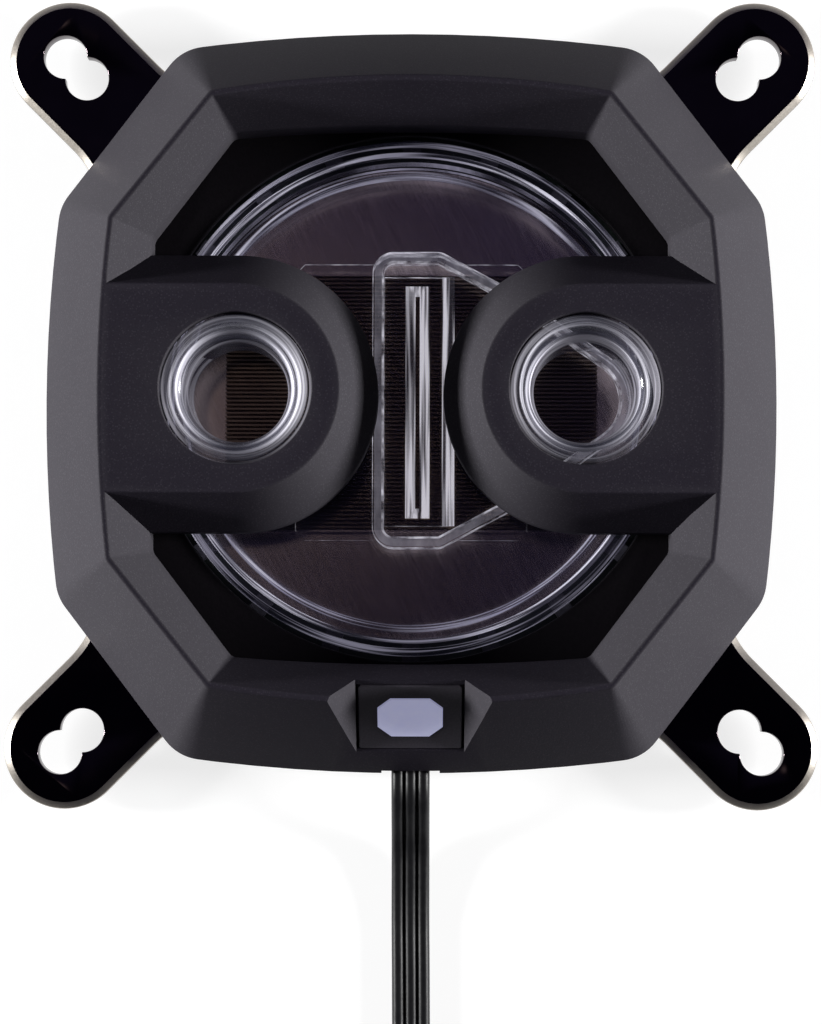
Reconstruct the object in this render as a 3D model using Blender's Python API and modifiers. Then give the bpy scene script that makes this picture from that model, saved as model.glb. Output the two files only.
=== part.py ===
"""CPU water block: cold plate, clear flow chamber and faceted shroud on a four-eared bracket.

Metres, +Z up. The origin is the middle of the contact face, which rests on the processor.
The ribbon cable leaves on the -Y side. Heights are a stack: each level is worked out from
the piece below it, its own thickness and the clearance GAP.
"""

import math

import bmesh
import bpy
from mathutils import Matrix, Vector

MM = 0.001
GAP = 0.3 * MM
OVERCUT = 1.0 * MM

# Cold plate: the contact pad, the screwed flange, the skived fins and the seal
PAD_HALF = 24.0 * MM
PAD_RADIUS = 2.0 * MM
PAD_HEIGHT = 0.6 * MM
PLATE_EDGE = 3.0 * MM
PLATE_RADIUS = 10.0 * MM
PLATE_THICKNESS = 1.7 * MM
FIN_COUNT = 64
FIN_PITCH = 0.466 * MM
FIN_THICKNESS = 0.2 * MM
FIN_HEIGHT = 2.7 * MM
FIN_LENGTH = 42.6 * MM
SEAL_SECTION = 1.2 * MM
SEAL_LAND = 1.0 * MM

# Screws
SCREW_RADIUS = 1.25 * MM
SCREW_HEAD_RADIUS = 2.2 * MM
SCREW_HEAD_HEIGHT = 1.1 * MM
SCREW_HEAD_TAPER = 0.3 * MM
SCREW_SINK = 0.1 * MM
PLATE_SCREW_EDGE = 3.4 * MM
PLATE_SCREW_SHORT = 19.0 * MM
PLATE_SCREW_BITE = 2.7 * MM
COVER_SCREW_Y = 13.0 * MM
COVER_SCREW_BITE = 4.5 * MM

# Mounting bracket
BRACKET_THICKNESS = 2.0 * MM
BRACKET_BAND = 4.5 * MM
BRACKET_LUG_EDGE = 2.8 * MM
BRACKET_CORNER_RADIUS = 1.5 * MM
BRACKET_RIM_WIDTH = 0.8 * MM
BRACKET_RIM_DEPTH = 0.5 * MM
EAR_HOLE_SQUARES = (75.0 * MM, 80.0 * MM)
EAR_HOLE_RADIUS = 2.5 * MM
EAR_RADIUS = 6.95 * MM
EAR_CENTRE_INSET = 0.5 * MM
EAR_ROOT_RADIUS = 11.0 * MM

# Flow chamber
NECK_WALL = 2.0 * MM
NECK_RADIUS = 7.0 * MM
FLANGE_EDGE = 3.0 * MM
FLANGE_RADIUS = 14.0 * MM
FLANGE_THICKNESS = 1.5 * MM
CAVITY_FOOT_STEP = 0.8 * MM
CHAMBER_WALL = 1.6 * MM
WINDOW_LIP = 2.0 * MM
WINDOW_THICKNESS = 2.7 * MM
WINDOW_STEP = 0.6 * MM
WINDOW_RIM_DROP = 0.5 * MM
PORT_THREAD_RADIUS = 6.3 * MM
PORT_THREAD_DEPTH = 5.3 * MM
PORT_LEDGE = 0.8 * MM
PORT_COUNTERSINK = 0.9 * MM
COLLAR_WALL = 1.7 * MM
COLLAR_BEVEL = 0.4 * MM
COLLAR_BELOW_COVER = 1.0 * MM

# Inlet guide
GUIDE_PLATE_HALF_X = 13.2 * MM
GUIDE_PLATE_HALF_Y = 15.8 * MM
GUIDE_PLATE_THICKNESS = 0.6 * MM
GUIDE_PLATE_CHAMFER = 1.0 * MM
GUIDE_WALL = 1.3 * MM
GUIDE_LEFT = -4.4 * MM
GUIDE_LEFT_RADIUS = 2.4 * MM
GUIDE_HALF_LENGTH = 16.8 * MM
GUIDE_SHOULDER_X = 3.4 * MM
GUIDE_SHOULDER_RADIUS = 1.8 * MM
GUIDE_KNEE = (11.5 * MM, 12.45 * MM)
GUIDE_KNEE_RADIUS = 4.0 * MM
GUIDE_END_RADIUS = 6.0 * MM
GUIDE_END_CLEARANCE = 0.5 * MM
GUIDE_SLOT_LEFT = -0.8 * MM
GUIDE_SLOT_RIGHT = 2.2 * MM
GUIDE_SLOT_HALF_LENGTH = 13.4 * MM
GUIDE_STEP_X = 3.5 * MM
GUIDE_STEP_HEIGHT = 1.1 * MM

# Light board and its lights
BOARD_THICKNESS = 0.9 * MM
BOARD_TAB_HALF = 6.0 * MM
BOARD_TAB_OVERHANG = 1.4 * MM
LIGHT_SIZE = 2.0 * MM
LIGHT_HEIGHT = 0.9 * MM
LIGHT_FIRST_ANGLE = 36.0
LIGHT_STEP_ANGLE = 18.0
LIGHTS_PER_SIDE = 7
LIGHT_HEADROOM = 0.5 * MM
BADGE_LIGHT_X = 3.0 * MM
BADGE_LIGHT_INSET = 2.0 * MM

# Window bezel
BEZEL_THICKNESS = 1.2 * MM
BEZEL_BELOW_WINDOW = 0.9 * MM
BEZEL_OVERLAP = 1.6 * MM
BEZEL_POST_RADIUS = 1.0 * MM
BEZEL_POST_ROOM = 1.1 * MM

# Cover: from the well round the window, up the inner slope, over the land, down the outer slope
WELL_ROOM_X = -0.2 * MM
WELL_ROOM_Y = 0.9 * MM
WELL_CHAMFER_X = 8.9 * MM
WELL_CHAMFER_Y = 12.5 * MM
WELL_END_BULGE = 0.8 * MM
WELL_CORNER_RADIUS = 1.2 * MM
WELL_SLOPE_HEIGHT = 7.5 * MM
INNER_SLOPE_X = 5.2 * MM
INNER_SLOPE_Y = 4.3 * MM
LAND_CHAMFER_X = 12.1 * MM
LAND_CHAMFER_Y = 15.55 * MM
LAND_SIDE_BULGE = 1.1 * MM
LAND_END_BULGE = 1.8 * MM
LAND_CORNER_RADIUS = 1.0 * MM
LAND_WIDTH = 0.6 * MM
OUTER_SLOPE_X = 7.55 * MM
OUTER_SLOPE_Y = 8.0 * MM
COVER_CHAMFER_X = 15.2 * MM
COVER_CHAMFER_Y = 19.9 * MM
COVER_SIDE_BULGE = 1.4 * MM
COVER_END_BULGE = 1.8 * MM
COVER_CORNER_RADIUS = 5.5 * MM
COVER_HEIGHT = 19.1 * MM
COVER_SKIRT_HEIGHT = 2.1 * MM
COVER_FOOT_BEVEL = 0.5 * MM
COVER_WALL = 2.0 * MM
COVER_ROOF = 4.0 * MM
ARM_RIM = 3.05 * MM
ARM_SLOPE = 4.05 * MM
BOSS_RADIUS = 2.3 * MM
BOSS_CAP = 1.2 * MM

# Badge: the notch in the ridge, its panel and its light window
BADGE_TOP_DROP = 4.0 * MM
BADGE_BOTTOM_DROP = 12.0 * MM
BADGE_HALF_WIDTH = 6.0 * MM
BADGE_FLARE = 0.652
BADGE_NOTCH_DEPTH = 10.0 * MM
BADGE_THICKNESS = 1.3 * MM
BADGE_LIP = 0.6 * MM
BADGE_BACKING = 1.5 * MM
BADGE_SHAFT_EDGE = 1.0 * MM
BADGE_LENS_HALF_X = 3.6 * MM
BADGE_LENS_HALF_Y = 2.9 * MM
BADGE_LENS_CORNER = 1.5 * MM
BADGE_LENS_THICKNESS = 0.6 * MM
BADGE_LENS_PROUD = 0.1 * MM

# Ribbon cable, its grommet and its socket
WIRE_RADIUS = 0.725 * MM
WIRE_COUNT = 3
CABLE_EXIT_RISE = 0.9 * MM
CABLE_LIFT = 0.1 * MM
GROMMET_HALF_WIDTH = 3.0 * MM
GROMMET_HEIGHT = 3.0 * MM
GROMMET_INSET = 0.4 * MM
GROMMET_BEVEL = 0.2 * MM
GROMMET_FLANGE = 0.8 * MM
SOCKET_HALF_WIDTH = 3.4 * MM
SOCKET_LENGTH = 2.6 * MM
SOCKET_HEIGHT = 3.0 * MM
SOCKET_BEVEL = 0.2 * MM

# The cable's far end: coil, tie, tail and plug
COIL_CENTRE = (-22.3 * MM, -98.5 * MM)
COIL_RADIUS = 22.4 * MM
COIL_TURNS = 3
COIL_BEVEL = 0.4 * MM
TAIL_RADIUS = 11.0 * MM
TAIL_START_ANGLE = 50.0
TAIL_END_ANGLE = 120.0
PLUG_SIZE = (14.0 * MM, 9.6 * MM, 4.2 * MM)
PLUG_BEVEL = 0.4 * MM
TIE_WIDTH = 3.0 * MM
TIE_THICKNESS = 0.4 * MM
TIE_HEAD = (5.0 * MM, 4.6 * MM, 2.6 * MM)

# Plan sizes, worked out from the middle of the block outwards
FIN_FIELD_HALF = FIN_PITCH * (FIN_COUNT - 1) / 2 + FIN_THICKNESS / 2
CAVITY_FOOT_RADIUS = math.hypot(FIN_LENGTH / 2, FIN_FIELD_HALF) + GAP
SEAL_RADIUS = CAVITY_FOOT_RADIUS + SEAL_LAND + GAP + SEAL_SECTION / 2
NECK_HALF = SEAL_RADIUS + SEAL_SECTION / 2 + GAP + NECK_WALL
PLATE_HALF = NECK_HALF + PLATE_EDGE
PLATE_SCREW_LONG = NECK_HALF - PLATE_SCREW_EDGE
FLANGE_HALF = NECK_HALF + FLANGE_EDGE
BRACKET_HALF = NECK_HALF + GAP + BRACKET_BAND
COVER_SCREW_X = FLANGE_HALF + GAP + BOSS_RADIUS
BRACKET_LUG_HALF = COVER_SCREW_X + BRACKET_LUG_EDGE
BRACKET_LUG_REACH = COVER_SCREW_Y + BRACKET_LUG_EDGE + BRACKET_RIM_WIDTH
EAR_CENTRE = max(EAR_HOLE_SQUARES) / 2 - EAR_CENTRE_INSET
CAVITY_RADIUS = CAVITY_FOOT_RADIUS - CAVITY_FOOT_STEP
CORE_RADIUS = CAVITY_RADIUS + CHAMBER_WALL
WINDOW_RADIUS = CORE_RADIUS + WINDOW_LIP
PORT_BORE_RADIUS = PORT_THREAD_RADIUS - PORT_LEDGE
PORT_X = CAVITY_RADIUS - WINDOW_STEP - GAP - PORT_BORE_RADIUS
COLLAR_RADIUS = PORT_THREAD_RADIUS + COLLAR_WALL
LIGHT_RADIUS = CORE_RADIUS + 2 * GAP + LIGHT_SIZE / 2
BEZEL_POST_RING = WINDOW_RADIUS + BEZEL_POST_ROOM + BEZEL_POST_RADIUS
BOARD_RADIUS = BEZEL_POST_RING + BEZEL_POST_RADIUS + GAP
BOARD_TAB_END = FLANGE_HALF + BOARD_TAB_OVERHANG
WELL_HALF_WIDTH = WINDOW_RADIUS + WELL_ROOM_X
WELL_HALF_LENGTH = WINDOW_RADIUS + WELL_ROOM_Y
LAND_HALF_WIDTH = WELL_HALF_WIDTH + INNER_SLOPE_X
LAND_HALF_LENGTH = WELL_HALF_LENGTH + INNER_SLOPE_Y
COVER_HALF_WIDTH = LAND_HALF_WIDTH + OUTER_SLOPE_X
COVER_HALF_LENGTH = LAND_HALF_LENGTH + OUTER_SLOPE_Y
ARM_TOP_RADIUS = COLLAR_RADIUS + GAP + ARM_RIM
ARM_FOOT_RADIUS = ARM_TOP_RADIUS + ARM_SLOPE
SCREW_HOLE_RADIUS = SCREW_RADIUS + GAP
RIBBON_HALF_WIDTH = WIRE_RADIUS * WIRE_COUNT

# Levels, worked out from the contact face upwards
PLATE_BOTTOM = PAD_HEIGHT
PLATE_TOP = PLATE_BOTTOM + PLATE_THICKNESS
FIN_TOP = PLATE_TOP + FIN_HEIGHT
BRACKET_BOTTOM = PLATE_TOP + GAP
BRACKET_TOP = BRACKET_BOTTOM + BRACKET_THICKNESS
FLANGE_BOTTOM = BRACKET_TOP + GAP
FLANGE_TOP = FLANGE_BOTTOM + FLANGE_THICKNESS
BOARD_BOTTOM = FLANGE_TOP + GAP
BOARD_TOP = BOARD_BOTTOM + BOARD_THICKNESS
LIGHT_BOTTOM = BOARD_TOP + GAP
LIGHT_TOP = LIGHT_BOTTOM + LIGHT_HEIGHT
WINDOW_BOTTOM = LIGHT_TOP + LIGHT_HEADROOM
CAVITY_TOP = WINDOW_BOTTOM + WINDOW_RIM_DROP
WINDOW_TOP = CAVITY_TOP + WINDOW_THICKNESS
BEZEL_TOP = WINDOW_TOP - BEZEL_BELOW_WINDOW
BEZEL_BOTTOM = BEZEL_TOP - BEZEL_THICKNESS
COVER_BOTTOM = FLANGE_BOTTOM
COVER_TOP = COVER_BOTTOM + COVER_HEIGHT
SKIRT_TOP = COVER_BOTTOM + COVER_SKIRT_HEIGHT
BOSS_HOLE_TOP = BRACKET_TOP + COVER_SCREW_BITE + GAP
BOSS_TOP = BOSS_HOLE_TOP + BOSS_CAP
WELL_BOTTOM = BEZEL_TOP + GAP
WELL_SLOPE_FOOT = COVER_TOP - WELL_SLOPE_HEIGHT
ARM_BOTTOM = WINDOW_TOP + GAP
COLLAR_TOP = COVER_TOP - COLLAR_BELOW_COVER
GUIDE_BOTTOM = FIN_TOP + GAP
GUIDE_FLOOR = GUIDE_BOTTOM + GUIDE_PLATE_THICKNESS
GUIDE_TOP = CAVITY_TOP - GAP
CABLE_EXIT_HEIGHT = COVER_BOTTOM + CABLE_EXIT_RISE
COIL_BOTTOM = TIE_THICKNESS + GAP
COIL_TOP = COIL_BOTTOM + 2 * RIBBON_HALF_WIDTH

# Facets round a full circle, and in a rounded corner
FINE = 40
SEAL_FACETS = 30
COIL_FACETS = 32
MEDIUM = 24
EAR_FACETS = 16
COARSE = 10
POST_FACETS = 8
CORNER_STEPS = 3
CURVE_STEPS = 4


def clear_scene():
    """Removes whatever the scene holds."""
    for thing in list(bpy.data.objects):
        bpy.data.objects.remove(thing, do_unlink=True)


def new_collection(name):
    """A collection under the scene."""
    group = bpy.data.collections.new(name)
    bpy.context.scene.collection.children.link(group)
    return group


def new_material(name, colour, roughness, metallic=0.0, alpha=1.0):
    """A Principled material."""
    material = bpy.data.materials.new(name)
    material.use_nodes = True
    shader = material.node_tree.nodes["Principled BSDF"]
    shader.inputs["Base Color"].default_value = (*colour, 1.0)
    shader.inputs["Roughness"].default_value = roughness
    shader.inputs["Metallic"].default_value = metallic
    shader.inputs["Alpha"].default_value = alpha
    return material


clear_scene()
PARTS = new_collection("cpu_water_block")
CUTTERS = new_collection("cutters")

CHARCOAL = (0.035, 0.034, 0.040)
COVER_PLASTIC = new_material("cover_plastic", CHARCOAL, 0.55)
DECK_PLASTIC = new_material("deck_plastic", (0.010, 0.008, 0.012), 0.5)
CLEAR_ACRYLIC = new_material("clear_acrylic", (0.80, 0.80, 0.88), 0.05, 0.0, 0.35)
NICKEL = new_material("nickel_plate", (0.62, 0.58, 0.54), 0.25, 1.0)
BLACK_NICKEL = new_material("black_nickel", (0.02, 0.018, 0.022), 0.12, 1.0)
SCREW_STEEL = new_material("screw_steel", (0.45, 0.45, 0.46), 0.3, 1.0)
SEAL_RUBBER = new_material("seal_rubber", (0.012, 0.012, 0.012), 0.8)
BOARD_LAMINATE = new_material("board_laminate", (0.015, 0.02, 0.018), 0.5)
LIGHT_BODY = new_material("light_body", (0.75, 0.76, 0.80), 0.4)
LENS_DIFFUSER = new_material("lens_diffuser", (0.42, 0.42, 0.60), 0.4)
CABLE_JACKET = new_material("cable_jacket", (0.012, 0.012, 0.013), 0.35)
PLUG_PLASTIC = new_material("plug_plastic", (0.015, 0.015, 0.016), 0.45)


def add_object(name, mesh, material):
    """Puts a mesh in the collection of parts."""
    thing = bpy.data.objects.new(name, mesh)
    mesh.materials.clear()
    mesh.materials.append(material)
    PARTS.objects.link(thing)
    return thing


def hide_helper(thing):
    """Moves a cutter, or a piece that another object joins, to the hidden helpers."""
    for group in list(thing.users_collection):
        group.objects.unlink(thing)
    CUTTERS.objects.link(thing)
    thing.hide_render = True
    thing.display_type = "WIRE"
    return thing


def apply_boolean(thing, other, operation):
    """Cuts or joins an object by another, which becomes a hidden helper."""
    hide_helper(other)
    modifier = thing.modifiers.new(operation.lower(), "BOOLEAN")
    modifier.operation = operation
    modifier.solver = "EXACT"
    modifier.object = other


def cut(thing, cutter):
    apply_boolean(thing, cutter, "DIFFERENCE")


def join(thing, piece):
    apply_boolean(thing, piece, "UNION")


def shade_smooth(thing, angle=35.0):
    """Smooth shading with the creases kept."""
    thing.data.shade_smooth()
    thing.data.set_sharp_from_angle(angle=math.radians(angle))


def arc(centre, radius, start, end, steps):
    """Points on an arc, angles in degrees."""
    points = []
    for i in range(steps + 1):
        angle = math.radians(start + (end - start) * i / steps)
        points.append((centre[0] + radius * math.cos(angle), centre[1] + radius * math.sin(angle)))
    return points


def round_corners(corners, steps=CORNER_STEPS):
    """A closed outline from (x, y, radius) corners, each rounded by its own radius."""
    outline = []
    for i, (x, y, radius) in enumerate(corners):
        here = Vector((x, y))
        if radius <= 0:
            outline.append((x, y))
            continue
        before = (Vector(corners[i - 1][:2]) - here).normalized()
        after = (Vector(corners[(i + 1) % len(corners)][:2]) - here).normalized()
        half_angle = before.angle(after) / 2
        centre = here + (before + after).normalized() * (radius / math.sin(half_angle))
        tangent = radius / math.tan(half_angle)
        first = (here + before * tangent) - centre
        last = (here + after * tangent) - centre
        sweep = first.angle_signed(last)
        for step in range(steps + 1):
            turned = first.copy()
            turned.rotate(Matrix.Rotation(-sweep * step / steps, 2))
            outline.append(tuple(centre + turned))
    return [p for i, p in enumerate(outline) if math.dist(p, outline[i - 1]) > 0.001 * MM]


def rounded_rectangle(half_x, half_y, radius, steps=CORNER_STEPS):
    """A rounded rectangle about the origin, anticlockwise."""
    corners = [(1, 1), (-1, 1), (-1, -1), (1, -1)]
    return round_corners([(sx * half_x, sy * half_y, radius) for sx, sy in corners], steps)


def octagon(half_x, half_y, corner):
    """A rectangle with cut corners."""
    points = []
    for sx, sy in ((1, 1), (-1, 1), (-1, -1), (1, -1)):
        pair = [(sx * half_x, sy * (half_y - corner)), (sx * (half_x - corner), sy * half_y)]
        if sx * sy < 0:
            pair.reverse()
        points += pair
    return points


def offset_outline(outline, distance):
    """Moves every edge of an anticlockwise outline outwards by a distance."""
    moved = []
    for i, point in enumerate(outline):
        here = Vector(point)
        back = (here - Vector(outline[i - 1])).normalized()
        ahead = (Vector(outline[(i + 1) % len(outline)]) - here).normalized()
        normal = Vector((back.y + ahead.y, -back.x - ahead.x)).normalized()
        stretch = normal.dot(Vector((back.y, -back.x)))
        moved.append(tuple(here + normal * (distance / stretch)))
    return moved


def at_height(outline, height):
    """A flat outline as points in space."""
    return [(x, y, height) for x, y in outline]


def loft(name, rings, material, closed=False):
    """Skins rings of equal count, listed so that the skin faces out, with caps or as a closed loop."""
    form = bmesh.new()
    rows = [[form.verts.new(point) for point in ring] for ring in rings]
    count = len(rows[0])
    pairs = list(zip(rows, rows[1:]))
    if closed:
        pairs.append((rows[-1], rows[0]))
    for lower, upper in pairs:
        for i in range(count):
            j = (i + 1) % count
            form.faces.new((lower[i], lower[j], upper[j], upper[i]))
    if not closed:
        form.faces.new(list(reversed(rows[0])))
        form.faces.new(rows[-1])
    bmesh.ops.recalc_face_normals(form, faces=form.faces)
    mesh = bpy.data.meshes.new(name)
    form.to_mesh(mesh)
    form.free()
    return add_object(name, mesh, material)


def prism(name, outlines, bottom, top, material, matrix=None):
    """A flat outline, with any holes, extruded between two heights from a 2D curve."""
    curve = bpy.data.curves.new(name, "CURVE")
    curve.dimensions = "2D"
    curve.fill_mode = "BOTH"
    curve.extrude = (top - bottom) / 2
    for outline in outlines:
        spline = curve.splines.new("POLY")
        spline.points.add(len(outline) - 1)
        for point, (x, y) in zip(spline.points, outline):
            point.co = (x, y, 0.0, 1.0)
        spline.use_cyclic_u = True
    drawing = bpy.data.objects.new(name + "_outline", curve)
    PARTS.objects.link(drawing)
    drawing.matrix_world = (matrix or Matrix()) @ Matrix.Translation((0, 0, (top + bottom) / 2))
    return curve_to_mesh(drawing, name, material)


def curve_to_mesh(drawing, name, material):
    """Replaces a curve object by its welded mesh."""
    bpy.context.view_layer.update()
    evaluated = drawing.evaluated_get(bpy.context.evaluated_depsgraph_get())
    mesh = bpy.data.meshes.new_from_object(evaluated)
    form = bmesh.new()
    form.from_mesh(mesh)
    bmesh.ops.remove_doubles(form, verts=form.verts, dist=0.00001)
    bmesh.ops.recalc_face_normals(form, faces=form.faces)
    form.to_mesh(mesh)
    form.free()
    thing = add_object(name, mesh, material)
    thing.matrix_world = drawing.matrix_world
    bpy.data.objects.remove(drawing)
    return thing


def turned(name, profile, material, place=(0, 0), steps=MEDIUM):
    """A closed or axis-to-axis (radius, height) profile, listed top to bottom on its outer side."""
    mesh = bpy.data.meshes.new(name)
    closed = profile[0][0] > 0
    edges = [(i, i + 1) for i in range(len(profile) - 1)]
    if closed:
        edges.append((len(profile) - 1, 0))
    mesh.from_pydata([(radius, 0.0, height) for radius, height in profile], edges, [])
    thing = add_object(name, mesh, material)
    thing.location = (*place, 0.0)
    screw = thing.modifiers.new("turn", "SCREW")
    screw.steps = steps
    screw.render_steps = steps
    screw.use_merge_vertices = True
    screw.merge_threshold = 0.00001
    screw.use_smooth_shade = True
    return thing


def cylinders(name, places, radius, bottom, top, material, steps=COARSE):
    """Separate upright cylinders in one mesh, used as bosses and as hole cutters."""
    form = bmesh.new()
    for x, y in places:
        middle = Matrix.Translation((x, y, (bottom + top) / 2))
        bmesh.ops.create_cone(form, cap_ends=True, segments=steps, radius1=radius, radius2=radius,
                              depth=top - bottom, matrix=middle)
    mesh = bpy.data.meshes.new(name)
    form.to_mesh(mesh)
    form.free()
    return add_object(name, mesh, material)


def block(name, low, high, material, bevel=0.0):
    """A box between two corners, with bevelled edges."""
    size = Vector(high) - Vector(low)
    middle = (Vector(high) + Vector(low)) / 2
    form = bmesh.new()
    bmesh.ops.create_cube(form, size=1.0, matrix=Matrix.Diagonal((*size, 1.0)))
    mesh = bpy.data.meshes.new(name)
    form.to_mesh(mesh)
    form.free()
    thing = add_object(name, mesh, material)
    thing.location = middle
    if bevel > 0:
        modifier = thing.modifiers.new("edges", "BEVEL")
        modifier.width = bevel
        modifier.segments = 1
    return thing


def corners_of(x, y):
    """The four places (x, y) mirrored in both axes."""
    return [(sx * x, sy * y) for sx, sy in ((1, 1), (-1, 1), (-1, -1), (1, -1))]


def plate_screw_places():
    return corners_of(PLATE_SCREW_LONG, PLATE_SCREW_SHORT) + corners_of(PLATE_SCREW_SHORT, PLATE_SCREW_LONG)


def faceted_outline(half_width, half_length, chamfer_x, chamfer_y, side_bulge, end_bulge, radius):
    """The shroud's eight-sided outline: bowed sides and ends, straight chamfers, rounded corners."""
    side_corner_y = half_length - chamfer_y
    end_corner_x = half_width - chamfer_x
    quadrant = []
    for share in (0.0, 1 / 3, 2 / 3):
        quadrant.append((half_width - side_bulge * share ** 2, side_corner_y * share, 0.0))
    quadrant.append((half_width - side_bulge, side_corner_y, radius))
    quadrant.append((end_corner_x, half_length - end_bulge, radius))
    for share in (2 / 3, 1 / 3):
        quadrant.append((end_corner_x * share, half_length - end_bulge * share ** 2, 0.0))
    top_middle = [(0.0, half_length, 0.0)]
    second = [(-x, y, r) for x, y, r in reversed(quadrant)]
    upper = quadrant + top_middle + second
    lower = [(-x, -y, r) for x, y, r in upper[1:-1]]
    return round_corners(upper + lower)


def silhouette():
    return faceted_outline(COVER_HALF_WIDTH, COVER_HALF_LENGTH, COVER_CHAMFER_X, COVER_CHAMFER_Y,
                           COVER_SIDE_BULGE, COVER_END_BULGE, COVER_CORNER_RADIUS)


def land_outline():
    return faceted_outline(LAND_HALF_WIDTH, LAND_HALF_LENGTH, LAND_CHAMFER_X, LAND_CHAMFER_Y,
                           LAND_SIDE_BULGE, LAND_END_BULGE, LAND_CORNER_RADIUS)


def well_outline():
    return faceted_outline(WELL_HALF_WIDTH, WELL_HALF_LENGTH, WELL_CHAMFER_X, WELL_CHAMFER_Y,
                           0.0, WELL_END_BULGE, WELL_CORNER_RADIUS)


def make_cold_plate():
    """Nickel-plated copper: a contact pad, a screwed flange and the skived fins."""
    pad = rounded_rectangle(PAD_HALF, PAD_HALF, PAD_RADIUS)
    slab = rounded_rectangle(PLATE_HALF, PLATE_HALF, PLATE_RADIUS)
    rings = [at_height(pad, 0.0), at_height(pad, PLATE_BOTTOM)]
    rings += [at_height(slab, PLATE_BOTTOM), at_height(slab, PLATE_TOP)]
    plate = loft("cold_plate", rings, NICKEL)
    root = PLATE_THICKNESS / 2
    comb = [(-FIN_FIELD_HALF, -root), (FIN_FIELD_HALF, -root)]
    for i in reversed(range(FIN_COUNT)):
        middle = -FIN_FIELD_HALF + FIN_THICKNESS / 2 + i * FIN_PITCH
        comb.append((middle + FIN_THICKNESS / 2, FIN_HEIGHT))
        comb.append((middle - FIN_THICKNESS / 2, FIN_HEIGHT))
        if i > 0:
            comb.append((middle - FIN_THICKNESS / 2, 0.0))
            comb.append((middle - FIN_PITCH + FIN_THICKNESS / 2, 0.0))
    along_x = Matrix(((0, 0, 1, 0), (1, 0, 0, 0), (0, 1, 0, PLATE_TOP), (0, 0, 0, 1)))
    fins = prism("fins", [comb], -FIN_LENGTH / 2, FIN_LENGTH / 2, NICKEL, along_x)
    join(plate, fins)
    sink_depth = SCREW_HEAD_HEIGHT + GAP
    sink = [(0.0, PLATE_TOP + OVERCUT), (SCREW_HOLE_RADIUS, PLATE_TOP + OVERCUT)]
    sink += [(SCREW_HOLE_RADIUS, PLATE_BOTTOM + sink_depth), (SCREW_HEAD_RADIUS + GAP, PLATE_BOTTOM)]
    sink += [(SCREW_HEAD_RADIUS + GAP, PLATE_BOTTOM - OVERCUT), (0.0, PLATE_BOTTOM - OVERCUT)]
    for i, place in enumerate(plate_screw_places(), 1):
        cut(plate, turned(f"plate_screw_hole_{i}", sink, NICKEL, place, COARSE))
    return plate


def make_seal():
    """The O-ring in the groove of the chamber's neck."""
    radius = SEAL_SECTION / 2
    middle = PLATE_TOP + GAP + radius
    section = arc((SEAL_RADIUS, middle), radius, 90, -270, 6)[:-1]
    return turned("cold_plate_seal", section, SEAL_RUBBER, steps=SEAL_FACETS)


def make_plate_screws():
    """Countersunk screws, heads just inside the plate's underside."""
    head_low = PLATE_BOTTOM + SCREW_SINK
    profile = [(0.0, PLATE_TOP + PLATE_SCREW_BITE), (SCREW_RADIUS, PLATE_TOP + PLATE_SCREW_BITE)]
    profile += [(SCREW_RADIUS, head_low + SCREW_HEAD_HEIGHT), (SCREW_HEAD_RADIUS, head_low), (0.0, head_low)]
    for i, place in enumerate(plate_screw_places(), 1):
        turned(f"cold_plate_screw_{i}", profile, SCREW_STEEL, place, COARSE)


def make_cover_screws():
    """Pan-head screws up through the bracket's lugs into the cover's bosses."""
    head_top = BRACKET_BOTTOM - GAP
    head_low = head_top - SCREW_HEAD_HEIGHT
    end = BRACKET_TOP + COVER_SCREW_BITE
    profile = [(0.0, end), (SCREW_RADIUS, end), (SCREW_RADIUS, head_top), (SCREW_HEAD_RADIUS, head_top)]
    profile += [(SCREW_HEAD_RADIUS - SCREW_HEAD_TAPER, head_low), (0.0, head_low)]
    for i, place in enumerate(corners_of(COVER_SCREW_X, COVER_SCREW_Y), 1):
        turned(f"cover_screw_{i}", profile, SCREW_STEEL, place, COARSE)


def bracket_outline():
    """Frame with side lugs and four round ears at 45 degrees, anticlockwise."""
    side = EAR_RADIUS * math.sqrt(2)
    tip = EAR_CENTRE + EAR_RADIUS * math.sqrt(2) / 2
    shoulder = (tip + side / 2, tip - side / 2)
    lug_root_y = BRACKET_LUG_REACH + BRACKET_LUG_HALF - BRACKET_HALF
    half_turn = math.tan(math.radians(45 / 2))
    straight = BRACKET_HALF - side - lug_root_y - BRACKET_CORNER_RADIUS * half_turn
    root_radius = min(EAR_ROOT_RADIUS, straight / half_turn)
    quadrant = [
        (BRACKET_LUG_HALF, BRACKET_LUG_REACH, BRACKET_CORNER_RADIUS),
        (BRACKET_HALF, lug_root_y, BRACKET_CORNER_RADIUS),
        (BRACKET_HALF, BRACKET_HALF - side, root_radius),
        (shoulder[0], shoulder[1], EAR_RADIUS),
        (shoulder[1], shoulder[0], EAR_RADIUS),
        (BRACKET_HALF - side, BRACKET_HALF, root_radius),
    ]
    upper = quadrant + [(-x, y, r) for x, y, r in reversed(quadrant)]
    return round_corners(upper + [(-x, -y, r) for x, y, r in upper], CURVE_STEPS)


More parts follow.
